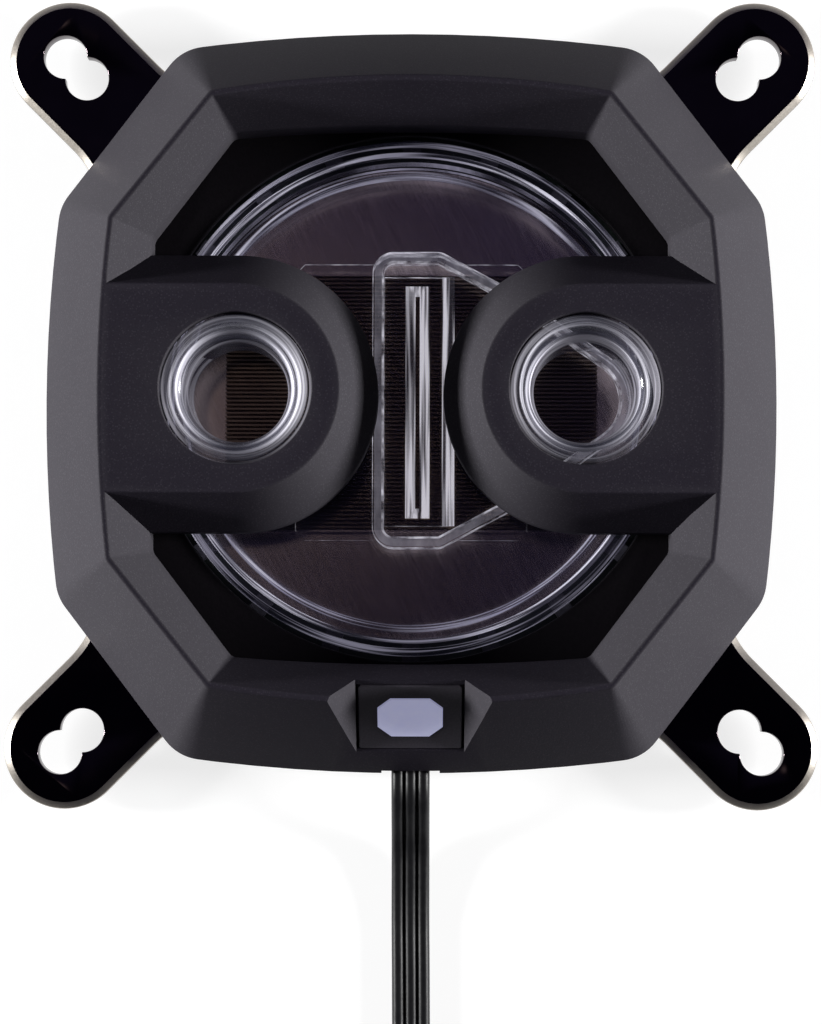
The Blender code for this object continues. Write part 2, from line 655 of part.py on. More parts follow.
def make_bracket():
    """Pressed steel plate with a ground rim, round the chamber's neck."""
    outline = bracket_outline()
    rings = [at_height(outline, BRACKET_BOTTOM), at_height(outline, BRACKET_TOP - BRACKET_RIM_DEPTH)]
    rings.append(at_height(offset_outline(outline, -BRACKET_RIM_WIDTH), BRACKET_TOP))
    bracket = loft("mounting_bracket", rings, BLACK_NICKEL)
    low, high = BRACKET_BOTTOM - OVERCUT, BRACKET_TOP + OVERCUT
    opening = rounded_rectangle(NECK_HALF + GAP, NECK_HALF + GAP, NECK_RADIUS + GAP)
    cut(bracket, prism("neck_opening", [opening], low, high, BLACK_NICKEL))
    for i, square in enumerate(EAR_HOLE_SQUARES, 1):
        places = corners_of(square / 2, square / 2)
        label = f"ear_holes_{i}"
        cut(bracket, cylinders(label, places, EAR_HOLE_RADIUS, low, high, BLACK_NICKEL, EAR_FACETS))
    places = corners_of(COVER_SCREW_X, COVER_SCREW_Y)
    cut(bracket, cylinders("lug_holes", places, SCREW_HOLE_RADIUS, low, high, BLACK_NICKEL))
    shade_smooth(bracket)
    return bracket


def make_flow_chamber():
    """One clear moulding: neck, flange, stepped window, cavity and the two port collars."""
    neck = rounded_rectangle(NECK_HALF, NECK_HALF, NECK_RADIUS)
    flange = rounded_rectangle(FLANGE_HALF, FLANGE_HALF, FLANGE_RADIUS)
    rings = [at_height(neck, PLATE_TOP + GAP), at_height(neck, FLANGE_BOTTOM)]
    rings += [at_height(flange, FLANGE_BOTTOM), at_height(flange, FLANGE_TOP)]
    chamber = loft("flow_chamber", rings, CLEAR_ACRYLIC)
    step = WINDOW_STEP
    drum = [(0.0, WINDOW_TOP), (WINDOW_RADIUS - 2 * step, WINDOW_TOP)]
    drum += [(WINDOW_RADIUS - 2 * step, WINDOW_TOP - step / 2), (WINDOW_RADIUS - step, WINDOW_TOP - step / 2)]
    drum += [(WINDOW_RADIUS, WINDOW_TOP - 2 * step), (WINDOW_RADIUS, WINDOW_BOTTOM)]
    drum += [(CORE_RADIUS, WINDOW_BOTTOM), (CORE_RADIUS, FLANGE_BOTTOM), (0.0, FLANGE_BOTTOM)]
    join(chamber, turned("chamber_drum", drum, CLEAR_ACRYLIC, steps=FINE))
    collar_root = CAVITY_TOP + WINDOW_THICKNESS / 2
    collar = [(0.0, COLLAR_TOP), (COLLAR_RADIUS - COLLAR_BEVEL, COLLAR_TOP)]
    collar += [(COLLAR_RADIUS, COLLAR_TOP - COLLAR_BEVEL), (COLLAR_RADIUS, collar_root), (0.0, collar_root)]
    for i, x in enumerate((-PORT_X, PORT_X), 1):
        join(chamber, turned(f"port_collar_{i}", collar, CLEAR_ACRYLIC, (x, 0)))
    cavity = [(0.0, CAVITY_TOP), (CAVITY_RADIUS - step, CAVITY_TOP), (CAVITY_RADIUS, CAVITY_TOP - step)]
    cavity += [(CAVITY_RADIUS, FLANGE_TOP), (CAVITY_FOOT_RADIUS, FLANGE_TOP - step)]
    cavity += [(CAVITY_FOOT_RADIUS, PLATE_TOP - OVERCUT), (0.0, PLATE_TOP - OVERCUT)]
    cut(chamber, turned("chamber_cavity", cavity, CLEAR_ACRYLIC, steps=FINE))
    mouth = PORT_THREAD_RADIUS + PORT_COUNTERSINK
    ledge = COLLAR_TOP - PORT_THREAD_DEPTH
    bore = [(0.0, COLLAR_TOP + OVERCUT), (mouth, COLLAR_TOP + OVERCUT), (mouth, COLLAR_TOP)]
    bore += [(PORT_THREAD_RADIUS, COLLAR_TOP - PORT_COUNTERSINK), (PORT_THREAD_RADIUS, ledge)]
    bore += [(PORT_BORE_RADIUS, ledge), (PORT_BORE_RADIUS, CAVITY_TOP - OVERCUT), (0.0, CAVITY_TOP - OVERCUT)]
    for i, x in enumerate((-PORT_X, PORT_X), 1):
        cut(chamber, turned(f"port_bore_{i}", bore, CLEAR_ACRYLIC, (x, 0)))
    reach = SEAL_SECTION / 2 + GAP
    groove_top = PLATE_TOP + GAP + SEAL_SECTION + GAP
    groove = [(SEAL_RADIUS + reach, groove_top), (SEAL_RADIUS + reach, PLATE_TOP - OVERCUT)]
    groove += [(SEAL_RADIUS - reach, PLATE_TOP - OVERCUT), (SEAL_RADIUS - reach, groove_top)]
    cut(chamber, turned("seal_groove", groove, CLEAR_ACRYLIC, steps=SEAL_FACETS))
    low, high = PLATE_TOP - OVERCUT, PLATE_TOP + PLATE_SCREW_BITE + GAP
    cut(chamber, cylinders("neck_holes", plate_screw_places(), SCREW_HOLE_RADIUS, low, high, CLEAR_ACRYLIC))
    shade_smooth(chamber)
    return chamber


def guide_outline():
    """The funnel's outer wall: straight back, slanting shoulders, round end under the inlet port.

    The round end's flanks run on through the knees, so the angle between them is found by halving.
    """
    knee_x, knee_y = GUIDE_KNEE
    end_x = CAVITY_RADIUS - GUIDE_END_CLEARANCE - GUIDE_END_RADIUS
    low, high = math.radians(5), math.radians(85)
    for _ in range(40):
        half_angle = (low + high) / 2
        apex = knee_x + knee_y / math.tan(half_angle)
        if apex - GUIDE_END_RADIUS / math.sin(half_angle) > end_x:
            low = half_angle
        else:
            high = half_angle
    upper = [
        (apex, 0.0, GUIDE_END_RADIUS),
        (knee_x, knee_y, GUIDE_KNEE_RADIUS),
        (GUIDE_SHOULDER_X, GUIDE_HALF_LENGTH, GUIDE_SHOULDER_RADIUS),
        (GUIDE_LEFT, GUIDE_HALF_LENGTH, GUIDE_LEFT_RADIUS),
    ]
    lower = [(x, -y, r) for x, y, r in reversed(upper[1:])]
    return round_corners(upper + lower, CURVE_STEPS)


def make_inlet_guide():
    """Clear base plate over the fins with a slot, a stepped floor and the funnel's wall."""
    outer = guide_outline()
    inner = offset_outline(outer, -GUIDE_WALL)
    plate = octagon(GUIDE_PLATE_HALF_X, GUIDE_PLATE_HALF_Y, GUIDE_PLATE_CHAMFER)
    guide = prism("inlet_guide", [outer], GUIDE_BOTTOM, GUIDE_TOP, CLEAR_ACRYLIC)
    join(guide, prism("guide_plate", [plate], GUIDE_BOTTOM, GUIDE_FLOOR, CLEAR_ACRYLIC))
    low, high = GUIDE_FLOOR + GUIDE_STEP_HEIGHT, GUIDE_TOP + OVERCUT
    cut(guide, prism("guide_inside", [inner], low, high, CLEAR_ACRYLIC))
    trough_left = GUIDE_LEFT + GUIDE_WALL
    trough_half = GUIDE_HALF_LENGTH - 2 * GUIDE_WALL
    low = (trough_left, -trough_half, GUIDE_FLOOR)
    high = (GUIDE_STEP_X, trough_half, GUIDE_TOP)
    cut(guide, block("guide_trough", low, high, CLEAR_ACRYLIC))
    low = (GUIDE_SLOT_LEFT, -GUIDE_SLOT_HALF_LENGTH, GUIDE_BOTTOM - OVERCUT)
    high = (GUIDE_SLOT_RIGHT, GUIDE_SLOT_HALF_LENGTH, GUIDE_FLOOR + OVERCUT)
    cut(guide, block("guide_slot", low, high, CLEAR_ACRYLIC))
    shade_smooth(guide)
    return guide


def light_places():
    """Angles and radii of the lights under the window's rim."""
    places = []
    for side in (0.0, 180.0):
        for i in range(LIGHTS_PER_SIDE):
            angle = math.radians(LIGHT_FIRST_ANGLE + LIGHT_STEP_ANGLE * i + side)
            places.append((LIGHT_RADIUS * math.cos(angle), LIGHT_RADIUS * math.sin(angle), angle))
    for x in (-BADGE_LIGHT_X, BADGE_LIGHT_X):
        places.append((x, -BOARD_TAB_END + BADGE_LIGHT_INSET, 0.0))
    return places


def make_lights():
    """Surface-mounted lights on the board."""
    half = LIGHT_SIZE / 2
    for i, (x, y, angle) in enumerate(light_places(), 1):
        light = block(f"light_{i:02d}", (-half, -half, LIGHT_BOTTOM), (half, half, LIGHT_TOP), LIGHT_BODY)
        light.location = (x, y, (LIGHT_BOTTOM + LIGHT_TOP) / 2)
        light.rotation_euler = (0, 0, angle)


def make_light_board():
    """Ring board round the chamber's core with a tab that carries the badge lights."""
    edge = math.degrees(math.asin(BOARD_TAB_HALF / BOARD_RADIUS))
    outer = arc((0, 0), BOARD_RADIUS, -90 + edge, 270 - edge, FINE)
    outer += [(-BOARD_TAB_HALF, -BOARD_TAB_END), (BOARD_TAB_HALF, -BOARD_TAB_END)]
    inner = arc((0, 0), CORE_RADIUS + GAP, 0, 360, FINE)[:-1]
    return prism("light_board", [outer, inner], BOARD_BOTTOM, BOARD_TOP, BOARD_LAMINATE)


def make_bezel():
    """Deck plate round the window, on four posts that hold down the light board."""
    outline = offset_outline(well_outline(), BEZEL_OVERLAP)
    hole = arc((0, 0), WINDOW_RADIUS + 2 * GAP, 0, 360, FINE)[:-1]
    bezel = prism("window_bezel", [outline, hole], BEZEL_BOTTOM, BEZEL_TOP, DECK_PLASTIC)
    place = BEZEL_POST_RING / math.sqrt(2)
    low, high = BOARD_TOP + GAP, BEZEL_TOP - GAP
    posts = cylinders("bezel_posts", corners_of(place, place), BEZEL_POST_RADIUS, low, high, DECK_PLASTIC,
                      POST_FACETS)
    join(bezel, posts)
    return bezel


def arm_ring(radius, side, root_half, root_bulge, root_corner, height):
    """One level of a port arm: round end about the port, root along the ridge."""
    points = [(2 * PORT_X - x, y) for x, y in arc((PORT_X, 0), radius, 90, -90, MEDIUM // 2)]
    for share in (-1, -1 / 3, 1 / 3, 1):
        y = radius * share
        points.append((root_half - root_bulge * (y / root_corner) ** 2, y))
    points.reverse()
    if side < 0:
        points = [(-x, y) for x, y in reversed(points)]
    return at_height(points, height)


def make_arm(name, side):
    """A port arm's outer form: flat top level with the land, sloping flanks, upright foot."""
    root = LAND_HALF_WIDTH - LAND_WIDTH / 2
    corner = LAND_HALF_LENGTH - LAND_CHAMFER_Y
    foot = WELL_HALF_WIDTH + COVER_WALL / 2
    rings = [
        arm_ring(ARM_FOOT_RADIUS, side, foot, 0.0, corner, ARM_BOTTOM),
        arm_ring(ARM_FOOT_RADIUS, side, foot, 0.0, corner, WELL_SLOPE_FOOT),
        arm_ring(ARM_TOP_RADIUS, side, root, LAND_SIDE_BULGE, corner, COVER_TOP),
    ]
    return loft(name, rings, COVER_PLASTIC)


def make_arm_hollow(name, side):
    """The space under a port arm, open below and into the ridge."""
    lean = ARM_SLOPE / WELL_SLOPE_HEIGHT
    sideways = COVER_WALL * math.sqrt(1 + lean ** 2)
    top_radius = ARM_TOP_RADIUS + lean * COVER_WALL - sideways
    foot_radius = ARM_FOOT_RADIUS - sideways
    root = LAND_HALF_WIDTH - LAND_SIDE_BULGE - LAND_WIDTH
    rings = [
        arm_ring(foot_radius, side, root, 0.0, foot_radius, ARM_BOTTOM - 2 * OVERCUT),
        arm_ring(foot_radius, side, root, 0.0, foot_radius, WELL_SLOPE_FOOT),
        arm_ring(top_radius, side, root, 0.0, foot_radius, COVER_TOP - COVER_WALL),
    ]
    return loft(name, rings, COVER_PLASTIC)


def badge_frame():
    """Matrix of the badge panel: origin in the middle of its face, local Y up the slope, local Z out.

    Its lower edge lies on the outer slope and its upper edge on the inner one.
    """
    outer_share = BADGE_BOTTOM_DROP / (COVER_TOP - SKIRT_TOP)
    inner_share = BADGE_TOP_DROP / WELL_SLOPE_HEIGHT
    land_edge = LAND_HALF_LENGTH - LAND_WIDTH
    low_y = LAND_HALF_LENGTH + OUTER_SLOPE_Y * outer_share
    high_y = land_edge - (land_edge - WELL_HALF_LENGTH) * inner_share
    low = Vector((0.0, -low_y, COVER_TOP - BADGE_BOTTOM_DROP))
    high = Vector((0.0, -high_y, COVER_TOP - BADGE_TOP_DROP))
    slope = high - low
    tilt = math.atan2(slope.z, slope.y)
    return Matrix.Translation((low + high) / 2) @ Matrix.Rotation(tilt, 4, "X"), slope.length


def tapered_box(name, low_half, high_half, bottom, top, matrix, material):
    """A box whose upper face is larger than its lower one, in a tilted frame."""
    lower = [(x, y, bottom) for x, y in rounded_rectangle(*low_half, 0.0)]
    upper = [(x, y, top) for x, y in rounded_rectangle(*high_half, 0.0)]
    thing = loft(name, [lower, upper], material)
    thing.matrix_world = matrix
    return thing


def make_badge_backing(frame, length):
    """Fills the ridge behind the badge, from the middle of its outer wall to that of its inner one."""
    inset = COVER_WALL / 2
    depth = BADGE_THICKNESS + GAP + BADGE_BACKING
    foot = frame @ Vector((0.0, -length / 2, -depth))
    heel = frame @ Vector((0.0, length / 2, -depth))
    well_wall = -WELL_HALF_LENGTH - inset
    heel = foot.lerp(heel, (well_wall - foot.y) / (heel.y - foot.y))
    crown = COVER_TOP - COVER_ROOF / 2
    lean = OUTER_SLOPE_Y / (COVER_TOP - SKIRT_TOP)
    outer_foot = inset - LAND_HALF_LENGTH - lean * (COVER_TOP - foot.z)
    outer_crown = inset - LAND_HALF_LENGTH - lean * (COVER_TOP - crown)
    land_edge = LAND_HALF_LENGTH - LAND_WIDTH
    inner_share = (COVER_TOP - crown) / WELL_SLOPE_HEIGHT
    inner_crown = (land_edge - WELL_HALF_LENGTH) * inner_share - land_edge - inset
    section = [(outer_foot, foot.z), (foot.y, foot.z), (heel.y, heel.z), (inner_crown, crown)]
    section.append((outer_crown, crown))
    rise = (frame.inverted() @ Vector((0.0, -LAND_HALF_LENGTH, COVER_TOP))).z
    half = BADGE_HALF_WIDTH + BADGE_FLARE * rise + COVER_WALL
    along_x = Matrix(((0, 0, 1, 0), (1, 0, 0, 0), (0, 1, 0, 0), (0, 0, 0, 1)))
    return prism("badge_backing", [section], -half, half, COVER_PLASTIC, along_x)


def make_cover():
    """The shroud: a hollow faceted ridge with two port arms and the badge notch."""
    outer, land, well = silhouette(), land_outline(), well_outline()
    land_inner = offset_outline(land, -LAND_WIDTH)
    skirt_inner = offset_outline(outer, -COVER_WALL)
    well_back = offset_outline(well, COVER_WALL)
    roof = COVER_TOP - COVER_ROOF
    rings = [
        at_height(offset_outline(outer, -COVER_FOOT_BEVEL), COVER_BOTTOM),
        at_height(outer, COVER_BOTTOM + COVER_FOOT_BEVEL),
        at_height(outer, SKIRT_TOP),
        at_height(land, COVER_TOP),
        at_height(land_inner, COVER_TOP),
        at_height(well, WELL_SLOPE_FOOT),
        at_height(well, WELL_BOTTOM),
        at_height(well_back, WELL_BOTTOM),
        at_height(well_back, WELL_SLOPE_FOOT),
        at_height(land_inner, roof),
        at_height(land, roof),
        at_height(skirt_inner, SKIRT_TOP),
        at_height(skirt_inner, COVER_BOTTOM),
    ]
    cover = loft("cover", rings, COVER_PLASTIC, closed=True)
    for label, side in (("left", -1), ("right", 1)):
        join(cover, make_arm(f"{label}_arm", side))
        cut(cover, make_arm_hollow(f"{label}_arm_hollow", side))
    ports = [(-PORT_X, 0.0), (PORT_X, 0.0)]
    low, high = COVER_TOP - 2 * COVER_WALL, COVER_TOP + OVERCUT
    cut(cover, cylinders("port_openings", ports, COLLAR_RADIUS + GAP, low, high, COVER_PLASTIC, MEDIUM))
    bosses = corners_of(COVER_SCREW_X, COVER_SCREW_Y)
    join(cover, cylinders("screw_bosses", bosses, BOSS_RADIUS, COVER_BOTTOM, BOSS_TOP, COVER_PLASTIC))
    low = COVER_BOTTOM - OVERCUT
    cut(cover, cylinders("boss_holes", bosses, SCREW_HOLE_RADIUS, low, BOSS_HOLE_TOP, COVER_PLASTIC))
    frame, length = badge_frame()
    join(cover, make_badge_backing(frame, length))
    depth = BADGE_NOTCH_DEPTH
    low_half = (BADGE_HALF_WIDTH, length)
    high_half = (BADGE_HALF_WIDTH + BADGE_FLARE * depth, length)
    cut(cover, tapered_box("badge_notch", low_half, high_half, 0.0, depth, frame, COVER_PLASTIC))
    seat_half = (BADGE_HALF_WIDTH, length / 2 - BADGE_LIP)
    seat = BADGE_THICKNESS + GAP
    cut(cover, tapered_box("badge_seat", seat_half, seat_half, -seat, OVERCUT, frame, COVER_PLASTIC))
    shaft_half = (BADGE_LENS_HALF_X - BADGE_SHAFT_EDGE, BADGE_LENS_HALF_Y - BADGE_SHAFT_EDGE)
    low, high = -seat - BADGE_BACKING - OVERCUT, OVERCUT - seat
    cut(cover, tapered_box("light_shaft", shaft_half, shaft_half, low, high, frame, COVER_PLASTIC))
    half = GROMMET_HALF_WIDTH + GAP
    low = (-half, -COVER_HALF_LENGTH - OVERCUT, COVER_BOTTOM - OVERCUT)
    high = (half, -COVER_HALF_LENGTH + 2 * COVER_WALL, CABLE_EXIT_HEIGHT + GROMMET_HEIGHT / 2 + GAP)
    cut(cover, block("cable_notch", low, high, COVER_PLASTIC))
    shade_smooth(cover)
    return cover


def make_badge():
    """The insert that fills the notch's floor, and its plain light window."""
    frame, length = badge_frame()
    half_x = BADGE_HALF_WIDTH - GAP
    half_y = length / 2 - BADGE_LIP - GAP
    outline = [(half_x, half_y), (-half_x, half_y), (-half_x, -half_y), (half_x, -half_y)]
    panel = prism("badge_panel", [outline], -BADGE_THICKNESS, 0.0, COVER_PLASTIC, frame)
    pocket = octagon(BADGE_LENS_HALF_X + GAP, BADGE_LENS_HALF_Y + GAP, BADGE_LENS_CORNER)
    floor = -BADGE_LENS_THICKNESS - GAP
    cut(panel, prism("lens_pocket", [pocket], floor, OVERCUT, COVER_PLASTIC, frame))
    lens = octagon(BADGE_LENS_HALF_X, BADGE_LENS_HALF_Y, BADGE_LENS_CORNER)
    prism("badge_lens", [lens], floor + GAP, BADGE_LENS_PROUD, LENS_DIFFUSER, frame)


def stadium(half_x, half_z):
    """A slot's outline with round ends, about the origin."""
    inner = half_x - half_z
    right = arc((inner, 0), half_z, -90, 90, CURVE_STEPS)
    left = arc((-inner, 0), half_z, 90, 270, CURVE_STEPS)
    return right + left


def make_socket_and_grommet():
    """The board's cable socket, and the rubber strain relief in the cover's edge."""
    far = -BOARD_TAB_END - GAP - SOCKET_LENGTH
    low = (-SOCKET_HALF_WIDTH, far, CABLE_EXIT_HEIGHT - SOCKET_HEIGHT / 2)
    high = (SOCKET_HALF_WIDTH, far + SOCKET_LENGTH, CABLE_EXIT_HEIGHT + SOCKET_HEIGHT / 2)
    block("board_socket", low, high, PLUG_PLASTIC, SOCKET_BEVEL)
    bottom = CABLE_EXIT_HEIGHT - GROMMET_HEIGHT / 2
    flange_front = -COVER_HALF_LENGTH + COVER_WALL + GAP
    flange_back = flange_front + GROMMET_FLANGE
    low = (-GROMMET_HALF_WIDTH, -COVER_HALF_LENGTH + GROMMET_INSET, bottom)
    high = (GROMMET_HALF_WIDTH, flange_back, CABLE_EXIT_HEIGHT + GROMMET_HEIGHT / 2)
    grommet = block("cable_grommet", low, high, SEAL_RUBBER, GROMMET_BEVEL)
    low = (-GROMMET_HALF_WIDTH - GROMMET_FLANGE, flange_front, bottom + GROMMET_BEVEL)
    high = (GROMMET_HALF_WIDTH + GROMMET_FLANGE, flange_back - GROMMET_BEVEL, SKIRT_TOP)
    join(grommet, block("grommet_flange", low, high, SEAL_RUBBER))
    hole = stadium(RIBBON_HALF_WIDTH + GAP, WIRE_RADIUS + GAP)
    reach = COVER_WALL + GAP + GROMMET_FLANGE + OVERCUT
    place = Matrix.Translation((0.0, -COVER_HALF_LENGTH, CABLE_EXIT_HEIGHT))
    place = place @ Matrix.Rotation(math.pi / 2, 4, "X")
    cut(grommet, prism("grommet_hole", [hole], -reach, reach, SEAL_RUBBER, place))


def smooth_route(points, steps):
    """A smooth curve through the route's points."""
    places = [Vector(point) for point in points]
    padded = [places[0] * 2 - places[1]] + places + [places[-1] * 2 - places[-2]]
    route = []
    for i in range(1, len(padded) - 2):
        before, here, ahead, after = padded[i - 1:i + 3]
        for step in range(steps):
            t = step / steps
            blend = (here * 2) + (ahead - before) * t
            blend += (before * 2 - here * 5 + ahead * 4 - after) * t ** 2
            blend += (here * 3 - before - ahead * 3 + after) * t ** 3
            route.append(blend / 2)
    route.append(places[-1])
    return route


def ribbon(name, route):
    """The flat cable along (place, tilt) points: a wide, round-edged section on a poly spline."""
    curve = bpy.data.curves.new(name, "CURVE")
    curve.dimensions = "3D"
    curve.twist_mode = "Z_UP"
    curve.bevel_depth = WIRE_RADIUS
    curve.bevel_resolution = 1
    curve.extrude = RIBBON_HALF_WIDTH - WIRE_RADIUS
    curve.use_fill_caps = True
    spline = curve.splines.new("POLY")
    spline.points.add(len(route) - 1)
    for point, (place, tilt) in zip(spline.points, route):
        point.co = (*place, 1.0)
        point.tilt = math.radians(tilt)
    drawing = bpy.data.objects.new(name + "_route", curve)
    PARTS.objects.link(drawing)
    return curve_to_mesh(drawing, name, CABLE_JACKET)


def resting_height(tilt):
    """Height of the ribbon's middle line where its lower edge just clears the surface.

    At a tilt of 90 degrees the ribbon lies flat, and at 0 it stands on its edge.
    """
    return CABLE_LIFT + WIRE_RADIUS + (RIBBON_HALF_WIDTH - WIRE_RADIUS) * math.cos(math.radians(tilt))


def straight_route():
    """From the board socket through the grommet, down to the surface and on edge to the coil.

    Each point is x, y, height and tilt.
    """
    start = -BOARD_TAB_END - 2 * GAP - SOCKET_LENGTH
    out = -COVER_HALF_LENGTH
    flat = resting_height(90)
    upright = RIBBON_HALF_WIDTH + COIL_BOTTOM
    points = [
        (0.0, start, CABLE_EXIT_HEIGHT, 90),
        (0.0, out, CABLE_EXIT_HEIGHT, 90),
        (0.0, out - 3.5 * MM, CABLE_EXIT_HEIGHT - 0.5 * MM, 90),
        (0.0, out - 8.0 * MM, CABLE_EXIT_HEIGHT - 3.4 * MM, 90),
        (0.0, out - 12.0 * MM, flat + 0.6 * MM, 90),
        (0.0, out - 17.0 * MM, flat + 0.05 * MM, 90),
        (0.05 * MM, out - 23.0 * MM, flat, 90),
        (0.1 * MM, out - 29.5 * MM, flat, 90),
        (0.1 * MM, out - 34.5 * MM, resting_height(60), 60),
        (0.1 * MM, out - 39.5 * MM, resting_height(20), 20),
        (0.1 * MM, out - 44.5 * MM, upright, 0),
    ]
    route = []
    for x, y, height, tilt in smooth_route(points, 3):
        tilt = min(tilt, 90)
        route.append(((x, y, max(height, resting_height(tilt))), tilt))
    return route


def tail_route():
    """From the coil's inner turn, curling inwards and turning flat for the plug."""
    inner_turn = COIL_RADIUS - (COIL_TURNS - 1) * WIRE_RADIUS
    centre = (COIL_CENTRE[0] + inner_turn - TAIL_RADIUS, COIL_CENTRE[1])
    places = arc(centre, TAIL_RADIUS, -TAIL_START_ANGLE, -TAIL_END_ANGLE, 8)
    high = RIBBON_HALF_WIDTH + COIL_BOTTOM
    low = PLUG_SIZE[2] / 2
    route = []
    for i, (x, y) in enumerate(places):
        share = i / (len(places) - 1)
        route.append(((x, y, high + (low - high) * share), 90 * share))
    return route


def make_cable():
    """The free ribbon: a straight run on the surface, then a tied coil, a tail and its plug."""
    ribbon("rgb_cable", straight_route())
    half = COIL_TURNS * WIRE_RADIUS
    inner, outer, bevel = COIL_RADIUS - half, COIL_RADIUS + half, COIL_BEVEL
    profile = [(outer - bevel, COIL_TOP), (outer, COIL_TOP - bevel), (outer, COIL_BOTTOM + bevel)]
    profile += [(outer - bevel, COIL_BOTTOM), (inner, COIL_BOTTOM), (inner, COIL_TOP)]
    turned("rgb_cable_coil", profile, CABLE_JACKET, COIL_CENTRE, COIL_FACETS)
    tail = tail_route()
    ribbon("rgb_cable_tail", tail)
    make_plug(tail[-1][0])
    make_tie(half + GAP, COIL_BOTTOM - GAP, COIL_TOP + GAP)


def make_plug(end):
    """The three-way plug on the tail's end, lying inside the coil."""
    length, width, height = PLUG_SIZE
    heading = math.radians(-TAIL_END_ANGLE - 90)
    ahead = Vector((math.cos(heading), math.sin(heading), 0.0))
    low, high = (-length / 2, -width / 2, 0.0), (length / 2, width / 2, height)
    plug = block("cable_plug", low, high, PLUG_PLASTIC, PLUG_BEVEL)
    plug.location = Vector((end[0], end[1], height / 2)) + ahead * (GAP + length / 2)
    plug.rotation_euler = (0, 0, heading)


def make_tie(half, low, high):
    """A thin strap round the coil's turns with its lock on top."""
    wall = TIE_THICKNESS
    inner = [(half, low), (half, high), (-half, high), (-half, low)]
    middle = (low + high) / 2
    strap = [(x + math.copysign(wall, x), z + math.copysign(wall, z - middle)) for x, z in inner]
    x, y = COIL_CENTRE[0] - COIL_RADIUS, COIL_CENTRE[1]
    place = Matrix.Translation((x, y, 0.0)) @ Matrix.Rotation(math.pi / 2, 4, "X")
    tie = prism("cable_tie", [strap, inner], -TIE_WIDTH / 2, TIE_WIDTH / 2, PLUG_PLASTIC, place)
    length, width, height = TIE_HEAD
    head_low = (x - length / 2, y - width / 2, high + wall / 2)
    head_high = (x + length / 2, y + width / 2, high + height)
    join(tie, block("tie_head", head_low, head_high, PLUG_PLASTIC))


make_cold_plate()
make_seal()
make_plate_screws()
make_bracket()
make_cover_screws()
make_flow_chamber()
make_inlet_guide()
make_light_board()
make_lights()
make_bezel()
make_cover()
make_badge()
make_socket_and_grommet()
make_cable()
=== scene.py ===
"""Looks of the CPU water block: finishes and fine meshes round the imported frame.

Metres, +Z up. The origin is the middle of the contact face. Plan sizes repeat the part's own
driving dimensions, and heights come from the frame's nodes.
"""

import math

import bmesh
import bpy
from mathutils import Matrix, Vector


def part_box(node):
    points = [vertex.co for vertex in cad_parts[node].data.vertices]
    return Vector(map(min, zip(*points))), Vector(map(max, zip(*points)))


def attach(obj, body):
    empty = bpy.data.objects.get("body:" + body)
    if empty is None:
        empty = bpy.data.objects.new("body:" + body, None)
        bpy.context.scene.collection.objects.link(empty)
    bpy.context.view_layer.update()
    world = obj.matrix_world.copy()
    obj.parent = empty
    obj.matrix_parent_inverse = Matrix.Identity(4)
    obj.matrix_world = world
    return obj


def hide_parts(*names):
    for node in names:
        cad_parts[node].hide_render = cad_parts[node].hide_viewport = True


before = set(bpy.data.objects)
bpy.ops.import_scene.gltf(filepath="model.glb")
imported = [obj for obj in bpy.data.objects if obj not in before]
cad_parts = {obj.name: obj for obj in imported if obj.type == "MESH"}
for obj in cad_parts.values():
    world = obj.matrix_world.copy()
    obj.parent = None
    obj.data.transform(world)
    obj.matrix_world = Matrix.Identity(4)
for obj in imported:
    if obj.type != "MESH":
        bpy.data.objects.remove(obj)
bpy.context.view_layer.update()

MM = 0.001
GAP = 0.3 * MM
OVERCUT = 1.0 * MM

# Heights and reaches read from the frame
COVER_LOW, COVER_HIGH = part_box("cover")
CHAMBER_LOW, CHAMBER_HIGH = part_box("flow_chamber")
BRACKET_LOW, BRACKET_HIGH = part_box("mounting_bracket")
BEZEL_LOW, BEZEL_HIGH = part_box("window_bezel")
GUIDE_LOW, GUIDE_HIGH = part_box("inlet_guide")
GROMMET_LOW, GROMMET_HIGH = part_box("cable_grommet")
SOCKET_LOW, SOCKET_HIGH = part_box("board_socket")
PLUG_LOW, PLUG_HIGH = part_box("cable_plug")
COIL_LOW, COIL_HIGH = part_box("rgb_cable_coil")

# Cover
COVER_HALF_WIDTH = COVER_HIGH.x
COVER_HALF_LENGTH = COVER_HIGH.y
COVER_BOTTOM = COVER_LOW.z
COVER_TOP = COVER_HIGH.z
SKIRT_TOP = COVER_BOTTOM + 2.1 * MM
WELL_BOTTOM = BEZEL_HIGH.z + GAP
WELL_SLOPE_HEIGHT = 7.5 * MM
WELL_SLOPE_FOOT = COVER_TOP - WELL_SLOPE_HEIGHT
OUTER_SLOPE_X = 7.55 * MM
OUTER_SLOPE_Y = 8.0 * MM
INNER_SLOPE_X = 5.2 * MM
INNER_SLOPE_Y = 4.3 * MM
LAND_HALF_WIDTH = COVER_HALF_WIDTH - OUTER_SLOPE_X
LAND_HALF_LENGTH = COVER_HALF_LENGTH - OUTER_SLOPE_Y
WELL_HALF_WIDTH = LAND_HALF_WIDTH - INNER_SLOPE_X
WELL_HALF_LENGTH = LAND_HALF_LENGTH - INNER_SLOPE_Y
COVER_CHAMFER = (15.2 * MM, 19.9 * MM)
LAND_CHAMFER = (12.1 * MM, 15.55 * MM)
WELL_CHAMFER = (8.9 * MM, 12.5 * MM)
COVER_BULGE = (1.4 * MM, 1.8 * MM)
LAND_BULGE = (1.1 * MM, 1.8 * MM)
WELL_BULGE = (0.0, 0.8 * MM)
COVER_CORNER = 5.5 * MM
LAND_CORNER = 1.0 * MM
WELL_CORNER = 1.2 * MM
LAND_WIDTH = 0.6 * MM
FOOT_BEVEL = 0.5 * MM
COVER_WALL = 2.0 * MM
COVER_ROOF = 4.0 * MM
EDGE_SOFTNESS = 0.22 * MM
